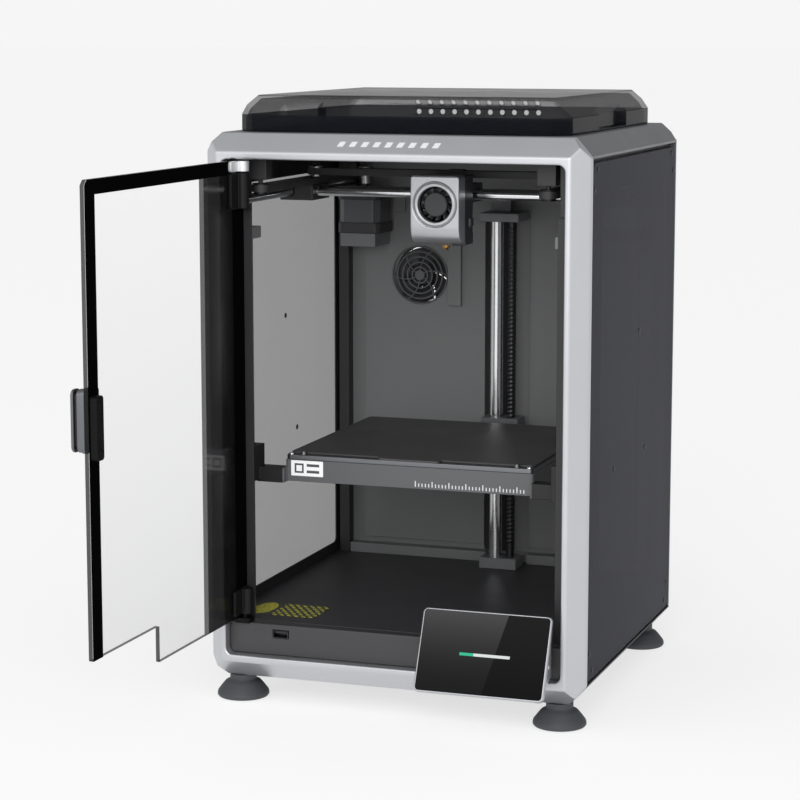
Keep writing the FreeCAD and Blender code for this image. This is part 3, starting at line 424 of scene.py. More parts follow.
wall_coat = coated("wall powder coat", tone(108, 109, 110), 0.48, 0.0008, 0.00007, 0.10, 0.14)
column_coat = coated("column powder coat", tone(34, 34, 36), 0.50, 0.0008, 0.00007, 0.12, 0.14)
floor_coat = coated("floor powder coat", tone(54, 54, 57), 0.46, 0.0011, 0.00012, 0.14, 0.22)
softened("inner_back_wall", "chamber_back_wall", 0.0006, wall_coat)
softened("side_liners", "window_liners", 0.0005, column_coat)
softened("inner_columns", "corner_columns", 0.0005, column_coat)
columns_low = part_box("inner_columns")[0]
# Painted shade: a thin dark sheet in front of the left column darkens the strip along the opening's edge.
shade_sheet_x = (columns_low.x + 0.0240, columns_low.x + 0.0308)
shade_sheet_front, shade_sheet_top = -0.0494, 0.4230
column_shade_sheet = plate(shade_sheet_x, (columns_low.z, shade_sheet_top), 0.0010, "y", shade_sheet_front, shade_sheet_front + 0.0008, 0.0001)
skin("column_shade_sheet", [column_shade_sheet], "body", column_coat, crease=30)
softened("top_rails", "rail_ring", 0.0006, column_coat)
softened("floor_plate", "chamber_floor", 0.0005, floor_coat)
# Painted shade: a black sheet lies in the channel behind the rear rod to darken that recess.
channel_x, channel_z = (-0.0140, 0.0160), (0.0790, 0.4020)
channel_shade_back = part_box("inner_back_wall")[1].y - 0.0015
channel_shade = plate(channel_x, channel_z, 0.0010, "y", channel_shade_back - 0.0004, channel_shade_back, 0.0001)
channel_shade_black = coated("lining black", tone(12, 12, 13), 0.7, 0.0008, 0.00005)
skin("channel_shade_sheet", [channel_shade], "body", channel_shade_black, crease=30)
chin_coat = coated("chin coat", tone(54, 54, 56), 0.44, 0.0008, 0.00004, 0.08, 0.10)
softened("chin_panel", "chin_strip", 0.0008, chin_coat)
socket_shell = bare_metal("socket shell", tone(70, 70, 72), 0.4)
softened("usb_port", "usb_socket", 0.0002, socket_shell, 1)


# ------------------------------------------------------------------ caution strip on the floor
# A printed vinyl strip lies on the chamber floor by the door. It carries a plain hatched band
# with a round spot at its left end, in worn yellow ink on black.

def caution_ink(x, y):
    """Ink lies in an oval spot, and in a band where the fraction of (x + 0.7 y) / 6.7 mm is over 0.45
    and the fraction of y / 7.1 mm is over 0.3. It is worn off where the noise is under 0.42."""
    finish = Finish("caution ink")
    across, along = finish.axis("X"), finish.axis("Y")
    hatch = finish.node("ShaderNodeMath", {"operation": "FRACT"}, {0: (across + 0.7 * along) * 150.0})
    spot_x, spot_y = (across - (x[0] + 0.011)) * 90.0, (along - (y[0] + y[1]) / 2) * 42.0
    spot = (spot_x * spot_x + spot_y * spot_y) < 0.75
    lines = finish.node("ShaderNodeMath", {"operation": "FRACT"}, {0: along * 140.0})
    band = (hatch > 0.45) * (across > x[0] + 0.024) * (lines > 0.3)
    wear = finish.grain(0.0014, 3.0)
    ink = finish.node("ShaderNodeMath", {"operation": "MAXIMUM"}, {0: spot, 1: band}) * (wear > 0.42)
    finish.feed(Base_Color=finish.blend(ink, tone(60, 60, 52), tone(205, 200, 60)))
    finish.feed(Roughness=0.36 + 0.12 * wear)
    finish.relief(wear, 0.00002)
    return finish.material


floor_low, floor_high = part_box("floor_plate")
strip_x = (floor_low.x + 0.013, floor_low.x + 0.078)
strip_y = (floor_low.y + 0.020, floor_low.y + 0.062)
skin("caution_strip", [plate(strip_x, strip_y, 0.004, "z", floor_high.z, floor_high.z + 0.0003, 0.0001)],
     "body", caution_ink(strip_x, strip_y), crease=30)


# ------------------------------------------------------------------ side panels and their screws
# Each side is closed by a 3 mm smoked sheet held by socket-head screws. The screws are blackened
# steel, and the ones in the back panel are the same.

def clear_sheet(name, tint, cover, flat_axis, rim, rim_cover, shine):
    """Clear or smoked sheet. cover is the share of light that one face stops, and it grows with the
    angle it is seen at: alpha = cover + (1 − cover) × facing². On the cut edges, whose normal leaves the
    flat axis, the tint turns to rim and alpha to rim_cover."""
    finish = Finish(name, IOR=1.49, Specular_IOR_Level=shine)
    facing = finish.node("ShaderNodeLayerWeight", {}, {"Blend": 0.35}, "Facing")
    smear = finish.grain(0.035, 3.0)
    alpha = cover + (1 - cover) * facing ** 2.0
    colour = finish.shade(tint, 1 + 0.12 * (smear - 0.5))
    normal = finish.node("ShaderNodeTexCoord", output="Normal")
    level = finish.node("ShaderNodeMath", {"operation": "ABSOLUTE"}, {0: finish.axis(flat_axis, normal)})
    cut_edge = level < 0.6
    alpha = alpha * (1 - cut_edge) + rim_cover * cut_edge
    colour = finish.blend(cut_edge, colour, rim)
    finish.feed(Alpha=alpha, Base_Color=colour, Roughness=0.07 + 0.10 * smear)
    finish.relief(finish.grain(0.02, 1.0), 0.00003)
    return finish.material


def socket_screws(places, axis, out, radius, height):
    """Button-head screws. Rows of one profile: rim, shoulder, top, then a six-sided socket whose
    radius is the flat distance / cos of the angle from the nearest flat's middle."""
    profile = np.array([(1, 0), (1, 0.45), (0.86, 0.84), (0.62, 1), (0.44, 1), (0.40, 0.35), (0, 0.35)])
    angle = np.linspace(0, 2 * math.pi, 24, endpoint=False)
    six = np.cos(math.pi / 6) / np.cos((angle + math.pi / 6) % (math.pi / 3) - math.pi / 6)
    row = np.arange(7)[:, None]
    radii = profile[:, :1] * radius * np.where(row >= 4, six, 1.0)
    rise = np.broadcast_to(profile[:, 1:] * height * out, radii.shape)
    across, beside = radii * np.cos(angle), radii * np.sin(angle)
    order = {"z": (across, beside, rise), "y": (across, rise, beside), "x": (rise, across, beside)}[axis]
    head = np.stack(order, -1)
    return [head + np.asarray(place, float) for place in places]


for side, cover, shine in (("left", 0.27, 0.12), ("right", 0.55, 0.01)):
    smoked = clear_sheet("smoked sheet " + side, tone(43, 44, 53), cover, "X", tone(48, 49, 54), 0.92, shine)
    softened(side + "_panel", side + "_sheet", 0.0007, smoked)
back_coat = coated("back powder coat", tone(66, 67, 70), 0.5, 0.0008, 0.00008, 0.10, 0.16)
softened("back_panel", "rear_sheet", 0.0004, back_coat)

blackened = bare_metal("blackened steel", tone(62, 62, 64), 0.42)
heads = solids("panel_screws")
screws = []
for low, high in heads:
    middle = (low + high) / 2
    if high[0] - low[0] < 0.001:
        outwards = 1 if middle[0] > 0 else -1
        inner = low[0] if outwards > 0 else high[0]
        screws += socket_screws([(inner, middle[1], middle[2])], "x", outwards, 0.0024, 0.0006)
    else:
        screws += socket_screws([(middle[0], low[1], middle[2])], "y", 1, 0.0030, 0.0016)
skin("sheet_screws", screws, "body", blackened, ["panel_screws"])


# ------------------------------------------------------------------ exhaust fan
# A 60 mm fan stands between the chamber wall and the rear sheet: a moulded frame, a rotor with
# seven swept blades, and wire finger guards of rings on spokes on both of its faces.

def fan_blades(centre, hub, tip, depth, count, width=0.75, sweep=0.45):
    """Blades about a line along Y. At share s from hub to tip and t round the blade's section,
    turn = blade turn + sweep × s + width × (t − ½),
    along = depth × (t − ½) × (1 − 0.2 s) + 1.2 mm of bow × (1 − (2t − 1)²),
    and the second half of the section runs back 0.9 mm further on."""
    across = np.concatenate([np.linspace(0, 1, 9), np.linspace(1, 0, 9)])
    behind = np.repeat([0.0, 1.0], 9)
    share = np.linspace(0, 1, 7)[:, None]
    radius = hub + (tip - hub) * share
    sheets = []
    for start in np.arange(count) * 2 * math.pi / count:
        turn = start + sweep * share + width * (across - 0.5)
        along = depth * (across - 0.5) * (1 - 0.2 * share)
        along += 0.0012 * (1 - (2 * across - 1) ** 2) + 0.0009 * behind
        blade = np.stack([centre[0] + radius * np.sin(turn), centre[1] + along + 0 * turn,
                          centre[2] + radius * np.cos(turn)], -1)
        ends = [np.repeat(blade[i].mean(0, keepdims=True), blade.shape[1], 0)[None] for i in (0, -1)]
        sheets.append(np.concatenate([ends[0], blade, ends[1]]))
    return sheets


def wire_ring(centre, radius, wire, axis="y"):
    """A closed ring of round wire: distance from the axis = radius + wire × cos b, along = wire × sin b."""
    b = np.linspace(0, 2 * math.pi, 10, endpoint=False)
    profile = np.stack([radius + wire * np.cos(b), wire * np.sin(b)], -1)
    return turned(np.concatenate([profile, profile[:1]]), centre, axis, 64)


def wire_spoke(centre, angle, inner, outer, wire, bow):
    """A round wire from radius inner to outer whose turn grows by bow × share, closed at both ends."""
    share = np.linspace(0, 1, 12)
    share = np.concatenate([share[:1], share, share[-1:]])[:, None]
    b = np.linspace(0, 2 * math.pi, 8, endpoint=False)
    thick = np.where((np.arange(14) % 13 == 0)[:, None], 0.0, wire)
    turn = angle + bow * share + thick * np.cos(b) / (inner + (outer - inner) * share)
    radius = inner + (outer - inner) * share + 0 * b
    return np.stack([centre[0] + radius * np.sin(turn), centre[1] + thick * np.sin(b),
                     centre[2] + radius * np.cos(turn)], -1)


fan_black = coated("fan black", tone(40, 41, 43), 0.45, 0.0007, 0.00003)
guard_wire = coated("guard wire", tone(92, 93, 96), 0.5, 0.0005, 0.00001, Specular_IOR_Level=0.3)
softened("exhaust_fan_housing", "fan_frame", 0.0006, fan_black)
rotor_low, rotor_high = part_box("exhaust_fan_rotor")
rotor_at = (rotor_low + rotor_high) / 2
rotor_tip = (rotor_high.x - rotor_low.x) / 2 - 0.0006
rotor_half = (rotor_high.y - rotor_low.y) / 2
hub_profile = [(0, -rotor_half), (0.0092, -rotor_half), (0.0100, -rotor_half + 0.0008),
               (0.0100, rotor_half - 0.0006), (0.0094, rotor_half), (0, rotor_half)]
hub = turned(hub_profile, rotor_at, "y")
rotor_blades = fan_blades(rotor_at, 0.0092, rotor_tip, rotor_half * 1.5, 7, 0.90)
skin("fan_rotor", [hub] + rotor_blades, "exhaust_rotor", fan_black, ["exhaust_fan_rotor"])

guards = []
for low, high in solids("exhaust_grille"):
    centre = (low + high) / 2
    wire = (high[1] - low[1]) / 2 * 0.96
    guards += [wire_ring(centre, radius, wire) for radius in (0.0274, 0.0224, 0.0174, 0.0124, 0.0076)]
    spokes = np.arange(6) * math.pi / 3
    guards += [wire_spoke(centre, turn, 0.0040, 0.0270, wire * 0.8, 0.5) for turn in spokes]
    button = [(0, -wire), (0.0044, -wire), (0.0050, 0), (0.0044, wire), (0, wire)]
    guards.append(turned(button, centre, "y", 32))
skin("finger_guards", guards, "body", guard_wire, ["exhaust_grille"])


# ------------------------------------------------------------------ motors, brackets and pulleys
# Two square stepping motors hang at the back under the gantry and drive the belts through
# toothed pulleys; plain flanged idlers stand in front and on the gantry. The brackets are folded steel.

def belt_wheel(node, name, body, teeth, metal):
    """A turned wheel with two flanges. Between them the radius is cut by teeth:
    factor = 1 − 0.045 × (cosine of teeth × angle > 0)."""
    low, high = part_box(node)
    middle = (low + high) / 2
    rim = (high.x - low.x) / 2
    top, foot = high.z - middle.z, high.z - middle.z - 0.0092
    groove = rim - 0.0009
    outline = [(0, top), (rim - 0.0003, top), (rim, top - 0.0003), (rim, top - 0.0007), (groove, top - 0.0010),
               (groove, top - 0.0020), (groove, foot + 0.0020), (groove, foot + 0.0010), (rim, foot + 0.0007),
               (rim, foot + 0.0003), (rim - 0.0003, foot), (0.0045, foot), (0.0045, low.z - middle.z),
               (0, low.z - middle.z)]
    wheel = turned(outline, middle, "z", 80)
    toothed = turned(outline, middle, "z", 80, lambda a: 1 - 0.045 * (np.cos(teeth * a) > 0))
    wheel[4:8] = toothed[4:8]
    skin(name, [wheel], body, metal, [node])


belt_motor = motor_bands("belt motor steel", "xy_motors", 0.010, 0.0315)
softened("xy_motors", "belt_motors", 0.0007, belt_motor)
bracket_coat = coated("bracket coat", tone(104, 105, 108), 0.42, 0.0007, 0.00004, 0.08, 0.10)
softened("brackets", "folded_brackets", 0.0006, bracket_coat)
turned_metal = bare_metal("turned aluminium", tone(196, 197, 199), 0.30, (1, 1, 0.1))
for side in ("left", "right"):
    belt_wheel("motor_pulley_" + side, "drive_wheel_" + side, "motor_pulley_" + side, 20, turned_metal)
    belt_wheel("front_idler_" + side, "front_wheel_" + side, "front_idler_" + side, 0, blackened)
    belt_wheel("gantry_idler_" + side, "gantry_wheel_" + side, "gantry_idler_" + side, 0, turned_metal)


# ------------------------------------------------------------------ toothed belts
# Flat rubber belts, 6 mm wide with a tooth every 2 mm on the inside. Two run along the sides, one
# spans the gantry and one under the floor ties the three lead screws together.

def belt(centres, radius, low, high):
    """A closed belt round wheels of one radius. The path is the straight runs and arcs at radius
    from the wheel centres, with its normal n. inside = path + n × (0.6 mm − tooth) and
    outside = path + n × 1.4 mm, where tooth = 0.6 mm × (fraction of length / 2 mm < ½)."""
    centres = np.asarray(centres, float)
    ahead = np.roll(centres, -1, 0) - centres
    heading = np.arctan2(ahead[:, 1], ahead[:, 0]) - math.pi / 2
    normals, points = [], []
    for i in range(len(centres)):
        start, end = heading[i - 1], heading[i]
        arc = start + np.linspace(0, (end - start) % (2 * math.pi), 24)
        along = np.linspace(0, 1, max(int(np.hypot(*ahead[i]) / 0.0005), 2))[:, None]
        straight = np.repeat([[math.cos(end), math.sin(end)]], len(along), 0)
        normals += [np.stack([np.cos(arc), np.sin(arc)], -1), straight]
        points += [centres[i] + radius * normals[-2], centres[i] + ahead[i] * along + radius * straight]
    normal, point = np.concatenate(normals), np.concatenate(points)
    step = np.hypot(*np.diff(point, axis=0, prepend=point[-1:]).T)
    tooth = 0.0006 * ((np.cumsum(step) / 0.002) % 1 < 0.5)[:, None]
    inside, outside = point + normal * (0.0006 - tooth), point + normal * 0.0014
    corners = [np.column_stack([side, np.full(len(point), height)])
               for side, height in ((inside, low), (inside, high), (outside, high), (outside, low))]
    return np.stack(corners, 1)


belt_rubber = coated("belt rubber", tone(34, 34, 35), 0.55, 0.0005, 0.00003)
belts = []
for low, high in solids("drive_belts"):
    half = (high[0] - low[0]) / 2
    if half < 0.02:
        x = (low[0] + high[0]) / 2
        radius = half - 0.0014
        belts.append(belt([(x, low[1] + half), (x, high[1] - half)][::-1], radius, low[2], high[2]))
screw_places = [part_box("lead_screw_" + name) for name in ("front_left", "front_right", "rear")]
screw_centres = [((low + high) / 2) for low, high in screw_places]
tie_low = min(low[2] for low, high in solids("drive_belts"))
belts.append(belt([(c.x, c.y) for c in screw_centres], 0.0083, tie_low, tie_low + 0.006))
skin("side_belts", belts, "body", belt_rubber, ["drive_belts"], rings=(True, True))
low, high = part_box("gantry_belts")
half = (high.y - low.y) / 2
span = [(low.x + half, (low.y + high.y) / 2), (high.x - half, (low.y + high.y) / 2)]
skin("cross_belt", [belt(span, half - 0.0014, low.z, high.z)], "gantry", belt_rubber,
     ["gantry_belts"], rings=(True, True))


# ------------------------------------------------------------------ rods and lead screws
# The bed slides on hardened ground rods and is lifted by three rolled screws with a 4 mm pitch,
# each with a toothed wheel under the floor. The gantry slides on two more ground rods.

def ground_rods(node, name, body, axis):
    """Round rods with chamfered ends, one for each solid of the node."""
    rods = []
    for low, high in solids(node):
        index = "xyz".index(axis)
        length = high[index] - low[index]
        radius = max(high[i] - low[i] for i in range(3) if i != index) / 2
        centre = (low + high) / 2
        outline = [(0, -length / 2), (radius - 0.0005, -length / 2), (radius, -length / 2 + 0.0005),
                   (radius, length / 2 - 0.0005), (radius - 0.0005, length / 2), (0, length / 2)]
        rods.append(turned(outline, centre, axis, 48))
    skin(name, rods, body, chrome, [node])


def lead_screw(centre, low, high):
    """Radius = 3.4 mm + 0.6 mm × ramp, ramp = 3 × |fraction of (height / pitch − turn) − ½| − ½ kept
    between 0 and 1, for height inside the threaded length; plain shaft outside it."""
    height = np.linspace(low, high, int((high - low) / 0.0005))
    angle = np.linspace(0, 2 * math.pi, 20, endpoint=False)
    cycle = (height[:, None] / 0.004 - angle / (2 * math.pi)) % 1
    ramp = np.clip(3 * np.abs(cycle - 0.5) - 0.5, 0, 1)
    threaded = ((height > low + 0.036) & (height < high - 0.010))[:, None]
    radius = 0.0034 + 0.0006 * ramp * threaded
    rod = np.stack([centre.x + radius * np.cos(angle), centre.y + radius * np.sin(angle),
                    height[:, None] + 0 * angle], -1)
    ends = [np.repeat(rod[i].mean(0, keepdims=True), 20, 0)[None] for i in (0, -1)]
    return np.concatenate([ends[0], rod, ends[1]])


chrome = bare_metal("ground chrome", tone(225, 226, 228), 0.16, (1, 1, 0.2), 0.05)
rolled_steel = bare_metal("rolled screw steel", tone(66, 66, 68), 0.42, (0.3, 0.3, 1))
ground_rods("z_rods", "lift_rods", "body", "z")
ground_rods("y_rods", "side_rods", "body", "y")
for name, (low, high) in zip(("front_left", "front_right", "rear"), screw_places):
    centre = (low + high) / 2
    shaft = lead_screw(centre, low.z + 0.0004, high.z)
    wheel_outline = [(0, 0), (0.0078, 0), (0.0080, 0.0006), (0.0080, 0.0068), (0.0078, 0.0074), (0, 0.0074)]
    wheel = turned(wheel_outline, (centre.x, centre.y, low.z + 0.0014), "z", 80,
                   lambda a: 1 - 0.06 * (np.cos(20 * a) > 0))
    skin("lift_screw_" + name, [shaft, wheel], "screw_" + name, rolled_steel,
         ["lead_screw_" + name])


# ------------------------------------------------------------------ bed
# A folded steel tray on three arms carries the heated aluminium plate. On it lies a sheet of
# spring steel with a dark textured coating, with a grip tab in front. Pegs and screws stand at its corners.

def plain_badge(low, high):
    """White enamel with a dark square ring and two dark bars: the ring is where the larger of the
    distances from its centre is between 2.6 and 4.2 mm, and the bars are where height and width fit."""
    finish = Finish("bar badge", Coat_Weight=0.3)
    across, up = finish.axis("X"), finish.axis("Z")
    middle_x, middle_z = low.x + 0.0075, (low.z + high.z) / 2
    reach = finish.node("ShaderNodeMath", {"operation": "MAXIMUM"},
                        {0: finish.node("ShaderNodeMath", {"operation": "ABSOLUTE"}, {0: across - middle_x}),
                         1: finish.node("ShaderNodeMath", {"operation": "ABSOLUTE"}, {0: up - middle_z})})
    ring = (reach < 0.0042) * (reach > 0.0026)
    row = finish.node("ShaderNodeMath", {"operation": "PINGPONG"}, {0: up - middle_z, 1: 0.0028})
    bars = (across > low.x + 0.0145) * (across < high.x - 0.0035) * (row > 0.0016) * (reach > 0.0042)
    inside = finish.node("ShaderNodeMath", {"operation": "ABSOLUTE"}, {0: up - middle_z}) < 0.0042
    dark = finish.node("ShaderNodeMath", {"operation": "MAXIMUM"}, {0: ring, 1: bars * inside})
    fine = finish.grain(0.0012, 2.0)
    white = finish.shade(tone(246, 247, 248), 0.96 + 0.08 * fine)
    finish.feed(Base_Color=finish.blend(dark, white, tone(70, 71, 74)))
    finish.feed(Roughness=0.26 + 0.08 * fine)
    finish.relief(fine, 0.00001)
    return finish.material


def tray_coat(reach):
    """Grey powder coat on the tray, and near black on the arms and nut blocks, whose distance from
    the middle line is over reach."""
    finish = Finish("bed powder coat", Specular_IOR_Level=0.4)
    fine = finish.grain(0.0008, 3.0)
    arms = finish.node("ShaderNodeMath", {"operation": "ABSOLUTE"}, {0: finish.axis("X")}) > reach
    coat = finish.blend(arms, tone(88, 89, 91), tone(24, 24, 25))
    finish.feed(Base_Color=finish.node("ShaderNodeMix", {"data_type": "RGBA", "blend_type": "MULTIPLY"},
                                       {0: 1.0, 6: coat, 7: finish.shade((1, 1, 1), 0.93 + 0.14 * fine)}, 2))
    finish.feed(Roughness=0.38 + 0.12 * fine)
    finish.relief(fine, 0.00005)
    return finish.material


bed_coat = tray_coat(0.1118)
bed_alloy = bare_metal("rolled plate", tone(120, 121, 124), 0.38, (0.15, 1, 1))
sheet_coat = coated("textured sheet coat", tone(62, 61, 62), 0.50, 0.0009, 0.00016, 0.14, 0.34)
softened("bed_frame", "bed_tray", 0.0006, bed_coat)
softened("heated_bed", "hot_plate", 0.0005, bed_alloy)
softened("build_plate", "spring_sheet", 0.0003, sheet_coat)

plate_low, plate_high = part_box("heated_bed")
front = plate_low.y - 0.0005
badge_low = Vector((plate_low.x + 0.005, front, plate_low.z - 0.0140))
badge_high = Vector((plate_low.x + 0.0345, front, plate_low.z - 0.0005))
badge_x, badge_z = (badge_low.x, badge_high.x), (badge_low.z, badge_high.z)
badge = plate(badge_x, badge_z, 0.0006, "y", front - 0.0003, front, 0.0001)
skin("bed_badge", [badge], "bed", plain_badge(badge_low, badge_high), crease=30)

ink_white = coated("scale ink", tone(214, 215, 217), 0.4, 0.0008, 0.00001, 0.05, 0.08)
scale_left, scale_foot, mark_pitch, mark_width = plate_high.x - 0.104, plate_low.z - 0.0170, 0.003, 0.0009
marks = []
for step in range(33):
    left = scale_left + step * mark_pitch
    top = scale_foot + (0.0050 if step % 5 == 0 else 0.0030)
    across = (left, left + mark_width)
    marks.append(plate(across, (scale_foot, top), 0.0002, "y", front - 0.00016, front, 0.00005))
skin("bed_scale", marks, "bed", ink_white, crease=30)

bright_steel = bare_metal("bright screw steel", tone(208, 209, 211), 0.28)
screw_inset, screw_seat = 0.004, plate_high.z - 0.0030
corner_screws = [(x, y, screw_seat) for x in (plate_low.x + screw_inset, plate_high.x - screw_inset)
                 for y in (plate_low.y + screw_inset, plate_high.y - screw_inset)]
corner_heads = socket_screws(corner_screws, "z", 1, 0.0026, 0.0014)
skin("bed_corner_screws", corner_heads, "bed", bright_steel)


# ------------------------------------------------------------------ gantry and toolhead
# Moulded end blocks slide along the side rods and hold two cross rods. The toolhead runs on them:
# a dark moulded carriage, a silver front cover with the fan behind a ring, and the finned hotend.

def hotend_bands():
    """Brass nozzle, then a dark heater block, then bare aluminium fins, by height above the tip."""
    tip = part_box("hotend")[0].z
    finish = Finish("hotend metals", Metallic=1.0)
    height = finish.axis("Z")
    fine = finish.grain(0.0007, 2.0)
    brass, heater, fins = tone(190, 150, 84), tone(88, 86, 84), tone(182, 184, 187)
    lower = finish.blend(height > tip + 0.0045, brass, heater)
    banded = finish.blend(height > tip + 0.0165, lower, fins)
    finish.feed(Base_Color=banded, Roughness=0.28 + 0.2 * fine)
    finish.relief(fine, 0.00002)
    return finish.material


block_black = coated("block black", tone(38, 38, 40), 0.46, 0.0007, 0.00004)
head_dark = coated("carriage plastic", tone(46, 47, 52), 0.40, 0.0007, 0.00003, 0.1, 0.1)
head_silver = coated("head silver", tone(190, 191, 194), 0.30, 0.0006, 0.00001, 0.04, 0.07, Metallic=0.70)
softened("gantry_blocks", "sliding_blocks", 0.0009, block_black)
ground_rods("x_rods", "cross_rods", "gantry", "x")
softened("toolhead_carriage", "carriage_shell", 0.0012, head_dark, 3)
softened("toolhead_cover", "head_cover", 0.0012, head_silver, 3)
softened("hotend", "finned_hotend", 0.0003, hotend_bands(), 1)
softened("extruder_gear", "feed_gear", 0.0002, turned_metal, 1)

head_low, head_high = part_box("toolhead_fan")
head_at = (head_low + head_high) / 2
head_tip = (head_high.x - head_low.x) / 2
head_half = (head_high.y - head_low.y) / 2
disc = [(0, -head_half), (0.0096, -head_half), (0.0104, -head_half + 0.0008), (0.0104, head_half),
        (0, head_half)]
hub_grey = coated("fan hub grey", tone(56, 57, 59), 0.5, 0.0008, 0.00002)
skin("head_fan_disc", [turned(disc, head_at, "y", 64)], "head_fan_rotor", hub_grey,
     ["toolhead_fan"])
head_blades = fan_blades(head_at, 0.0098, head_tip - 0.0005, head_half * 1.4, 11, 0.45, 0.2)
skin("head_fan_blades", head_blades, "head_fan_rotor", fan_black)


# ------------------------------------------------------------------ lid
# A blow-off cover of smoked clear plastic with a bevelled top, a grip recess in each side and two
# rows of round vents at the back. It lies loose on its lip inside the ring.

def lid_finish():
    """Smoked plastic whose cover per face is 0.27 on the bevels, 0.74 in the moulded band below
    mid height and 0.52 on the flat top, and grows by (1 − cover) × facing²."""
    low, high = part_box("lid")
    finish = Finish("smoked lid", IOR=1.49, Specular_IOR_Level=0.02)
    up = finish.axis("Z")
    cover = 0.27 + 0.47 * (up < high.z - 0.0165) + 0.25 * (up > high.z - 0.0012)
    facing = finish.node("ShaderNodeLayerWeight", {}, {"Blend": 0.35}, "Facing")
    smear = finish.grain(0.035, 3.0)
    finish.feed(Alpha=cover + (1 - cover) * facing ** 2.0, Roughness=0.08 + 0.10 * smear)
    finish.feed(Base_Color=finish.shade(tone(22, 23, 28), 1 + 0.12 * (smear - 0.5)))
    finish.relief(finish.grain(0.02, 1.0), 0.00003)
    return finish.material


softened("lid", "smoked_lid", 0.0010, lid_finish(), 2)


# ------------------------------------------------------------------ door
# One pane of tempered glass swings on two pins. Black enamel is printed along the hinge, the top and
# the free edge, with a dark half-clear strip beside the hinge, and clamps grip it without a frame.

def door_finish():
    """The pane's cover: grows from 0.015 at the top to 0.12 at the foot, a painted shade that darkens
    the pane towards its foot; 0.85 within 81 mm of the hinge edge, where the enamel is half clear; 0.90 on the
    ground edges."""
    low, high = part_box("door_glass")
    finish = Finish("door pane", IOR=1.5, Specular_IOR_Level=0.15)
    up, along = finish.axis("Z"), finish.axis("Y")
    share = (up - low.z) * (1 / (high.z - low.z))
    # Painted shade: the pane's cover grows towards its foot, so the glass darkens downwards.
    clear = 0.12 - 0.105 * share
    strip = along > high.y - 0.081
    normal = finish.node("ShaderNodeTexCoord", output="Normal")
    flat = finish.node("ShaderNodeMath", {"operation": "ABSOLUTE"}, {0: finish.axis("X", normal)})
    cut_edge = flat < 0.6
    cover = clear * (1 - strip) + 0.85 * strip
    finish.feed(Alpha=cover * (1 - cut_edge) + 0.90 * cut_edge)
    smear = finish.grain(0.05, 3.0)
    body = finish.blend(strip, tone(150, 152, 154), tone(20, 20, 21))
    finish.feed(Base_Color=finish.blend(cut_edge, body, tone(26, 28, 28)), Roughness=0.05 + 0.08 * smear)
    finish.relief(smear, 0.00002)
    return finish.material


def refinished(node, finish):
    """Keeps a CAD node as it is and gives it a finish."""
    kept = frame["nodes"][node]
    kept.data.materials.clear()
    kept.data.materials.append(finish)


def pull_bands(low, high):
    """Satin metal with a black band between shares 0.24 and 0.42 of the way in from the outer lip."""
    finish = Finish("pull metal")
    share = (finish.axis("X") - low) * (1 / (high - low))
    band = (share > 0.24) * (share < 0.42)
    fine = finish.grain(0.0006, 3.0, (1, 1, 0.1))
    satin = finish.shade(tone(112, 113, 118), 0.94 + 0.12 * fine)
    finish.feed(Base_Color=finish.blend(band, satin, tone(18, 18, 19)))
    finish.feed(Metallic=0.85 * (1 - band), Roughness=0.32 + 0.1 * fine)
    finish.relief(fine, 0.00001)
    return finish.material


def clamp_bands():
    """Bright silver on the small top clamp, black on the long ones below it."""
    finish = Finish("clamp finish", Specular_IOR_Level=0.2)
    top = finish.axis("Z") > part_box("door_hinge_clamps")[1].z - 0.0095
    fine = finish.grain(0.0006, 3.0)
    black = finish.shade(tone(17, 17, 18), 0.9 + 0.2 * fine)
    finish.feed(Base_Color=finish.blend(top, black, tone(225, 226, 228)))
    finish.feed(Metallic=0.6 * top, Roughness=0.38 + 0.1 * fine)
    finish.relief(fine, 0.00002)
    return finish.material


enamel = coated("black enamel", tone(7, 7, 8), 0.35, 0.0010, 0.00001, 0.3, 0.2, Specular_IOR_Level=0.0)
softened("door_glass", "door_pane", 0.0005, door_finish(), 1)
refinished("door_border", enamel)
clamp_black = coated("clamp black", tone(15, 15, 16), 0.45, 0.0006, 0.00002, 0.1, 0.1, Specular_IOR_Level=0.1)
softened("door_latch", "catch_block", 0.0007, clamp_black)
softened("door_hinge_clamps", "glass_clamps", 0.0006, clamp_bands())
softened("hinge_pins", "hinge_lugs", 0.0003, clamp_black, 1)

pull_low, pull_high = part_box("door_handle")
pull_deep = pull_high.x - pull_low.x
grip_slack, cap_inset, corner = 0.0118, 0.0250, 0.0042
pull_outline = ((cap_inset, 0.0), (0.0022, 0.0), (0.0012, 0.03), (0.0006, 0.10), (0.0006, 0.22),
                (0.0026, 0.26), (0.0026, 0.41), (0.0012, 0.44), (0.0006, 0.48), (0.0006, 0.74),
                (0.0000, 0.76), (0.0000, 0.98), (0.0004, 1.0), (cap_inset, 1.0))
pull_rows = []
for inset, share in pull_outline:
    closed = inset == cap_inset
    along = min(inset, (pull_high.y - pull_low.y) / 2 - 0.0061)
    far_side = pull_high.y - grip_slack - along if share < 0.75 else pull_high.y
    upwards = 0.02 if closed else inset
    ring_y, ring_z = (pull_low.y + along, far_side), (pull_low.z + upwards, pull_high.z - upwards)
    ring = rounded_loop(ring_y, ring_z, corner, 8)
    ring = ring.mean(0) + 0 * ring if closed else ring
    pull_rows.append(np.column_stack([np.full(len(ring), pull_low.x + pull_deep * share), ring]))
skin("door_pull", [np.array(pull_rows)], "door", pull_bands(pull_low.x, pull_high.x),
     ["door_handle"])


# ------------------------------------------------------------------ touch screen
# A display module in a thin silver surround leans back on a wedge-shaped housing in front of the
# bezel. Its cover glass is glossy black over a dim glowing screen with a painted reflection and a short
# start-up bar.

def leaning(grid, top_y, top_z, lean):
    """From a plate's own (x, depth, height): y = top_y + depth × cos lean + height × sin lean,
    z = top_z − depth × sin lean + height × cos lean."""
    x, depth, height = grid[..., 0], grid[..., 1], grid[..., 2]
    return np.stack([x, top_y + depth * math.cos(lean) + height * math.sin(lean),
                     top_z - depth * math.sin(lean) + height * math.cos(lean)], -1)


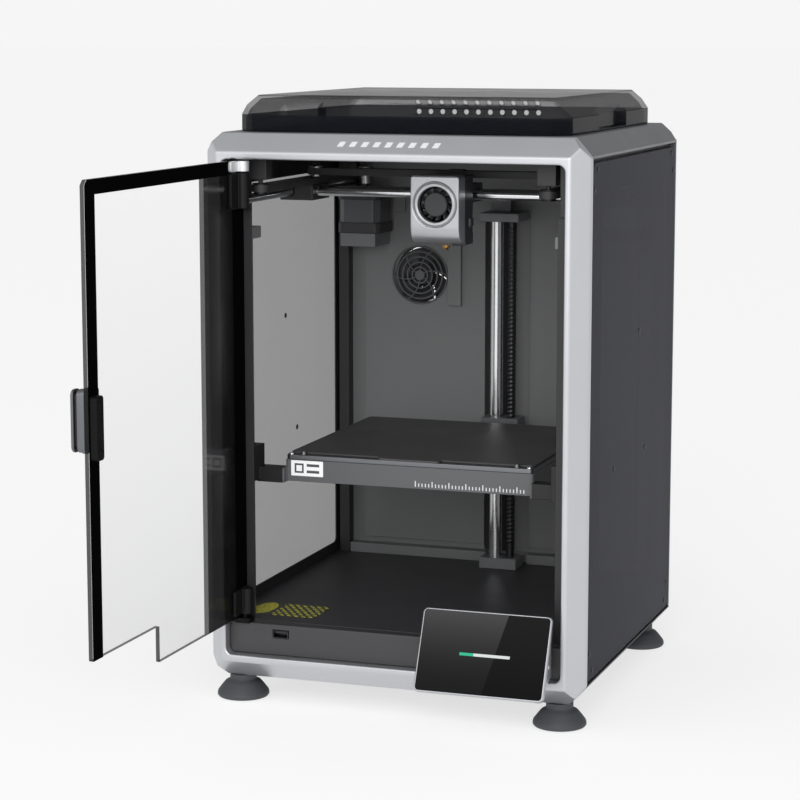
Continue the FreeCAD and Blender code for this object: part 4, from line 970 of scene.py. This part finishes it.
def reflection_and_start_bar(low, high):
    """A painted reflection: two glowing dark greys that meet along a slanted line, the left one fading
    downwards; and a bar one third green, two thirds white. The line is where x is under its foot + 0.25 ×
    height."""
    finish = Finish("cover glass", Roughness=0.10, IOR=1.5, Specular_IOR_Level=0.04, Emission_Strength=1.0)
    across, up = finish.axis("X"), finish.axis("Z")
    share = (up - low.z) * (1 / (high.z - low.z))
    # Painted reflection: the glowing left side, brightest at the top, stands in for a reflection on the cover
    # glass.
    left = across < low.x + (high.x - low.x) * 0.52 + 0.25 * (up - low.z)
    painted_reflection_glow = left * (0.008 + 0.060 * share ** 2.0) + (1 - left) * (0.002 + 0.008 * share)
    bar_z = low.z + (high.z - low.z) * 0.50
    near = finish.node("ShaderNodeMath", {"operation": "ABSOLUTE"}, {0: up - bar_z}) < 0.0011
    bar = near * (across > low.x + 0.036) * (across < high.x - 0.032)
    done = across < low.x + 0.048
    light = finish.blend(done, tone(225, 228, 228), tone(60, 190, 150))
    finish.feed(Emission_Color=finish.blend(bar, finish.shade((1.0, 1.0, 1.0), painted_reflection_glow), light))
    smear = finish.grain(0.03, 3.0)
    finish.feed(Base_Color=finish.shade(tone(10, 10, 11), 0.8 + 0.4 * smear))
    finish.relief(smear, 0.00001)
    return finish.material


lean = math.radians(24.4)
screen_high, screen_thick, glass_rim = 0.0709, 0.0050, 0.0013
screen_low_corner, screen_high_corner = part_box("screen_display")
top_y = screen_low_corner.y + screen_high * math.sin(lean)
top_z = screen_high_corner.z
screen_x = (screen_low_corner.x, screen_high_corner.x)
surround = plate(screen_x, (-screen_high, 0.0), 0.0040, "y", 0.0, screen_thick, 0.0007)
cover_x = (screen_x[0] + glass_rim, screen_x[1] - glass_rim)
cover = plate(cover_x, (-screen_high + glass_rim, -glass_rim), 0.0030, "y", -0.0002, 0.0006, 0.0002)
surround_silver = bare_metal("surround silver", tone(182, 183, 187), 0.30, (0.1, 1, 1))
skin("screen_surround", [leaning(surround, top_y, top_z, lean)], "body", surround_silver,
     ["screen_display"], crease=30)
picture = reflection_and_start_bar(screen_low_corner, screen_high_corner)
skin("cover_glass", [leaning(cover, top_y, top_z, lean)], "body", picture, crease=30)
softened("screen_housing", "screen_wedge", 0.0012, silver, 3)


# ------------------------------------------------------------------ plain dashes on the bezel
# A row of nine plain slanted dashes is printed in white on the sloping upper face of the bezel.

bezel_low, bezel_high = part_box("front_frame")
slope = math.atan2(0.0160, 0.0150)
slope_foot = Vector((0, bezel_low.y, bezel_high.z - 0.0160))
into, upwards = Vector((0, math.sin(slope), -math.cos(slope))), Vector((0, math.cos(slope), math.sin(slope)))
row_left, dash_pitch, dash_width, dash_up, dash_slant = -0.0460, 0.0103, 0.0052, (0.0078, 0.0132), 0.35
dashes = []
for step in range(9):
    left = row_left + step * dash_pitch
    dash = plate((left, left + dash_width), dash_up, 0.0003, "y", -0.0001, 0.0003, 0.00005)
    dash[..., 0] += dash_slant * (dash[..., 2] - sum(dash_up) / 2)
    spread = dash[..., 1:2] * np.array(into) + dash[..., 2:3] * np.array(upwards) + np.array(slope_foot)
    spread[..., 0] += dash[..., 0]
    dashes.append(spread)
skin("bezel_dashes", dashes, "body", ink_white, crease=30)


# ------------------------------------------------------------------ rear fittings
# The mains inlet and rocker, the run-out sensor and the spool spindle are moulded black parts
# screwed to the rear sheet. The rocker has its lower half pressed.

fitting_black = coated("fitting black", tone(36, 36, 38), 0.42, 0.0007, 0.00004)
softened("power_inlet", "mains_inlet_block", 0.0004, fitting_black, 1)
softened("power_switch", "rocker", 0.0005, coated("rocker black", tone(24, 24, 25), 0.28, 0.0009, 0.00002))
softened("filament_sensor", "sensor_box", 0.0008, fitting_black)
spool_grey = coated("spool grey", tone(70, 71, 74), 0.46, 0.0008, 0.00005)
softened("spool_holder", "spool_spindle_arm", 0.0010, spool_grey)


# ------------------------------------------------------------------ studio
# A plain pale floor, an even soft light that is fullest from the front, and one large soft lamp.

floor_mesh = bpy.data.meshes.new("studio_floor")
reach = np.linspace(0, 1, 25)[:, None] ** 2 * 60
turn = np.linspace(0, 2 * math.pi, 64, endpoint=False)
ground = np.stack([reach * np.cos(turn), reach * np.sin(turn), 0 * reach * turn - 0.0002], -1)
floor_mesh.from_pydata(ground.reshape(-1, 3).tolist(), [], wall_faces(25, 64, False, True).tolist())
studio_floor = bpy.data.objects.new("studio_floor", floor_mesh)
paper = coated("studio paper", (0.36, 0.36, 0.36, 1), 0.9, 0.004, 0.00001, 0.01, 0.01, Specular_IOR_Level=0.0,
               Emission_Color=(1, 1, 1, 1), Emission_Strength=0.69)
studio_floor.data.materials.append(paper)
bpy.context.scene.collection.objects.link(studio_floor)
studio_floor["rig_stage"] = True

world = bpy.data.worlds.new("soft studio")
bpy.context.scene.world = world
world.use_nodes = True
sky = world.node_tree
backdrop = sky.nodes["Background"]
ray = sky.nodes.new("ShaderNodeLightPath")
direction = sky.nodes.new("ShaderNodeTexCoord")
parts = sky.nodes.new("ShaderNodeSeparateXYZ")
sky.links.new(direction.outputs["Generated"], parts.inputs[0])
lifted = sky.nodes.new("ShaderNodeMapRange")
lifted.inputs["From Min"].default_value, lifted.inputs["From Max"].default_value = 0.1, 0.9
lifted.inputs["To Min"].default_value, lifted.inputs["To Max"].default_value = 1.0, 0.50
sky.links.new(parts.outputs["Z"], lifted.inputs["Value"])
facing = sky.nodes.new("ShaderNodeMapRange")
facing.inputs["From Min"].default_value, facing.inputs["From Max"].default_value = 0.4, -1.0
facing.inputs["To Min"].default_value, facing.inputs["To Max"].default_value = 0.45, 1.90
sky.links.new(parts.outputs["Y"], facing.inputs["Value"])
both = sky.nodes.new("ShaderNodeMath")
both.operation = "MULTIPLY"
sky.links.new(lifted.outputs[0], both.inputs[0])
sky.links.new(facing.outputs[0], both.inputs[1])
seen = sky.nodes.new("ShaderNodeMix")
sky.links.new(ray.outputs["Is Camera Ray"], seen.inputs[0])
sky.links.new(both.outputs[0], seen.inputs[2])
seen.inputs[3].default_value = 0.92
backdrop.inputs["Color"].default_value = (1, 1, 1, 1)
sky.links.new(seen.outputs[0], backdrop.inputs["Strength"])


def soft_lamp(name, place, target, size, watts):
    """A square area lamp at place that faces target."""
    lamp = bpy.data.lights.new(name, "AREA")
    lamp.shape, lamp.size, lamp.energy = "SQUARE", size, watts
    holder = bpy.data.objects.new(name, lamp)
    holder.location = place
    holder.rotation_euler = (Vector(target) - Vector(place)).to_track_quat("-Z", "Y").to_euler()
    bpy.context.scene.collection.objects.link(holder)


soft_lamp("front lamp", (0.6, -2.6, 1.4), (0, 0, 0.3), 1.4, 26)

camera = bpy.data.cameras.new("camera")
camera.lens, camera.sensor_width = 109.96, 36.0
camera.clip_start, camera.clip_end = 0.05, 200.0
stand = bpy.data.objects.new("camera", camera)
stand.location = (0.66501, -1.95954, 0.57907)
stand.rotation_euler = (math.radians(81.25), 0, math.radians(19.14))
bpy.context.scene.collection.objects.link(stand)
bpy.context.scene.camera = stand
bpy.context.scene.view_settings.view_transform = "Standard"

low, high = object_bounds()
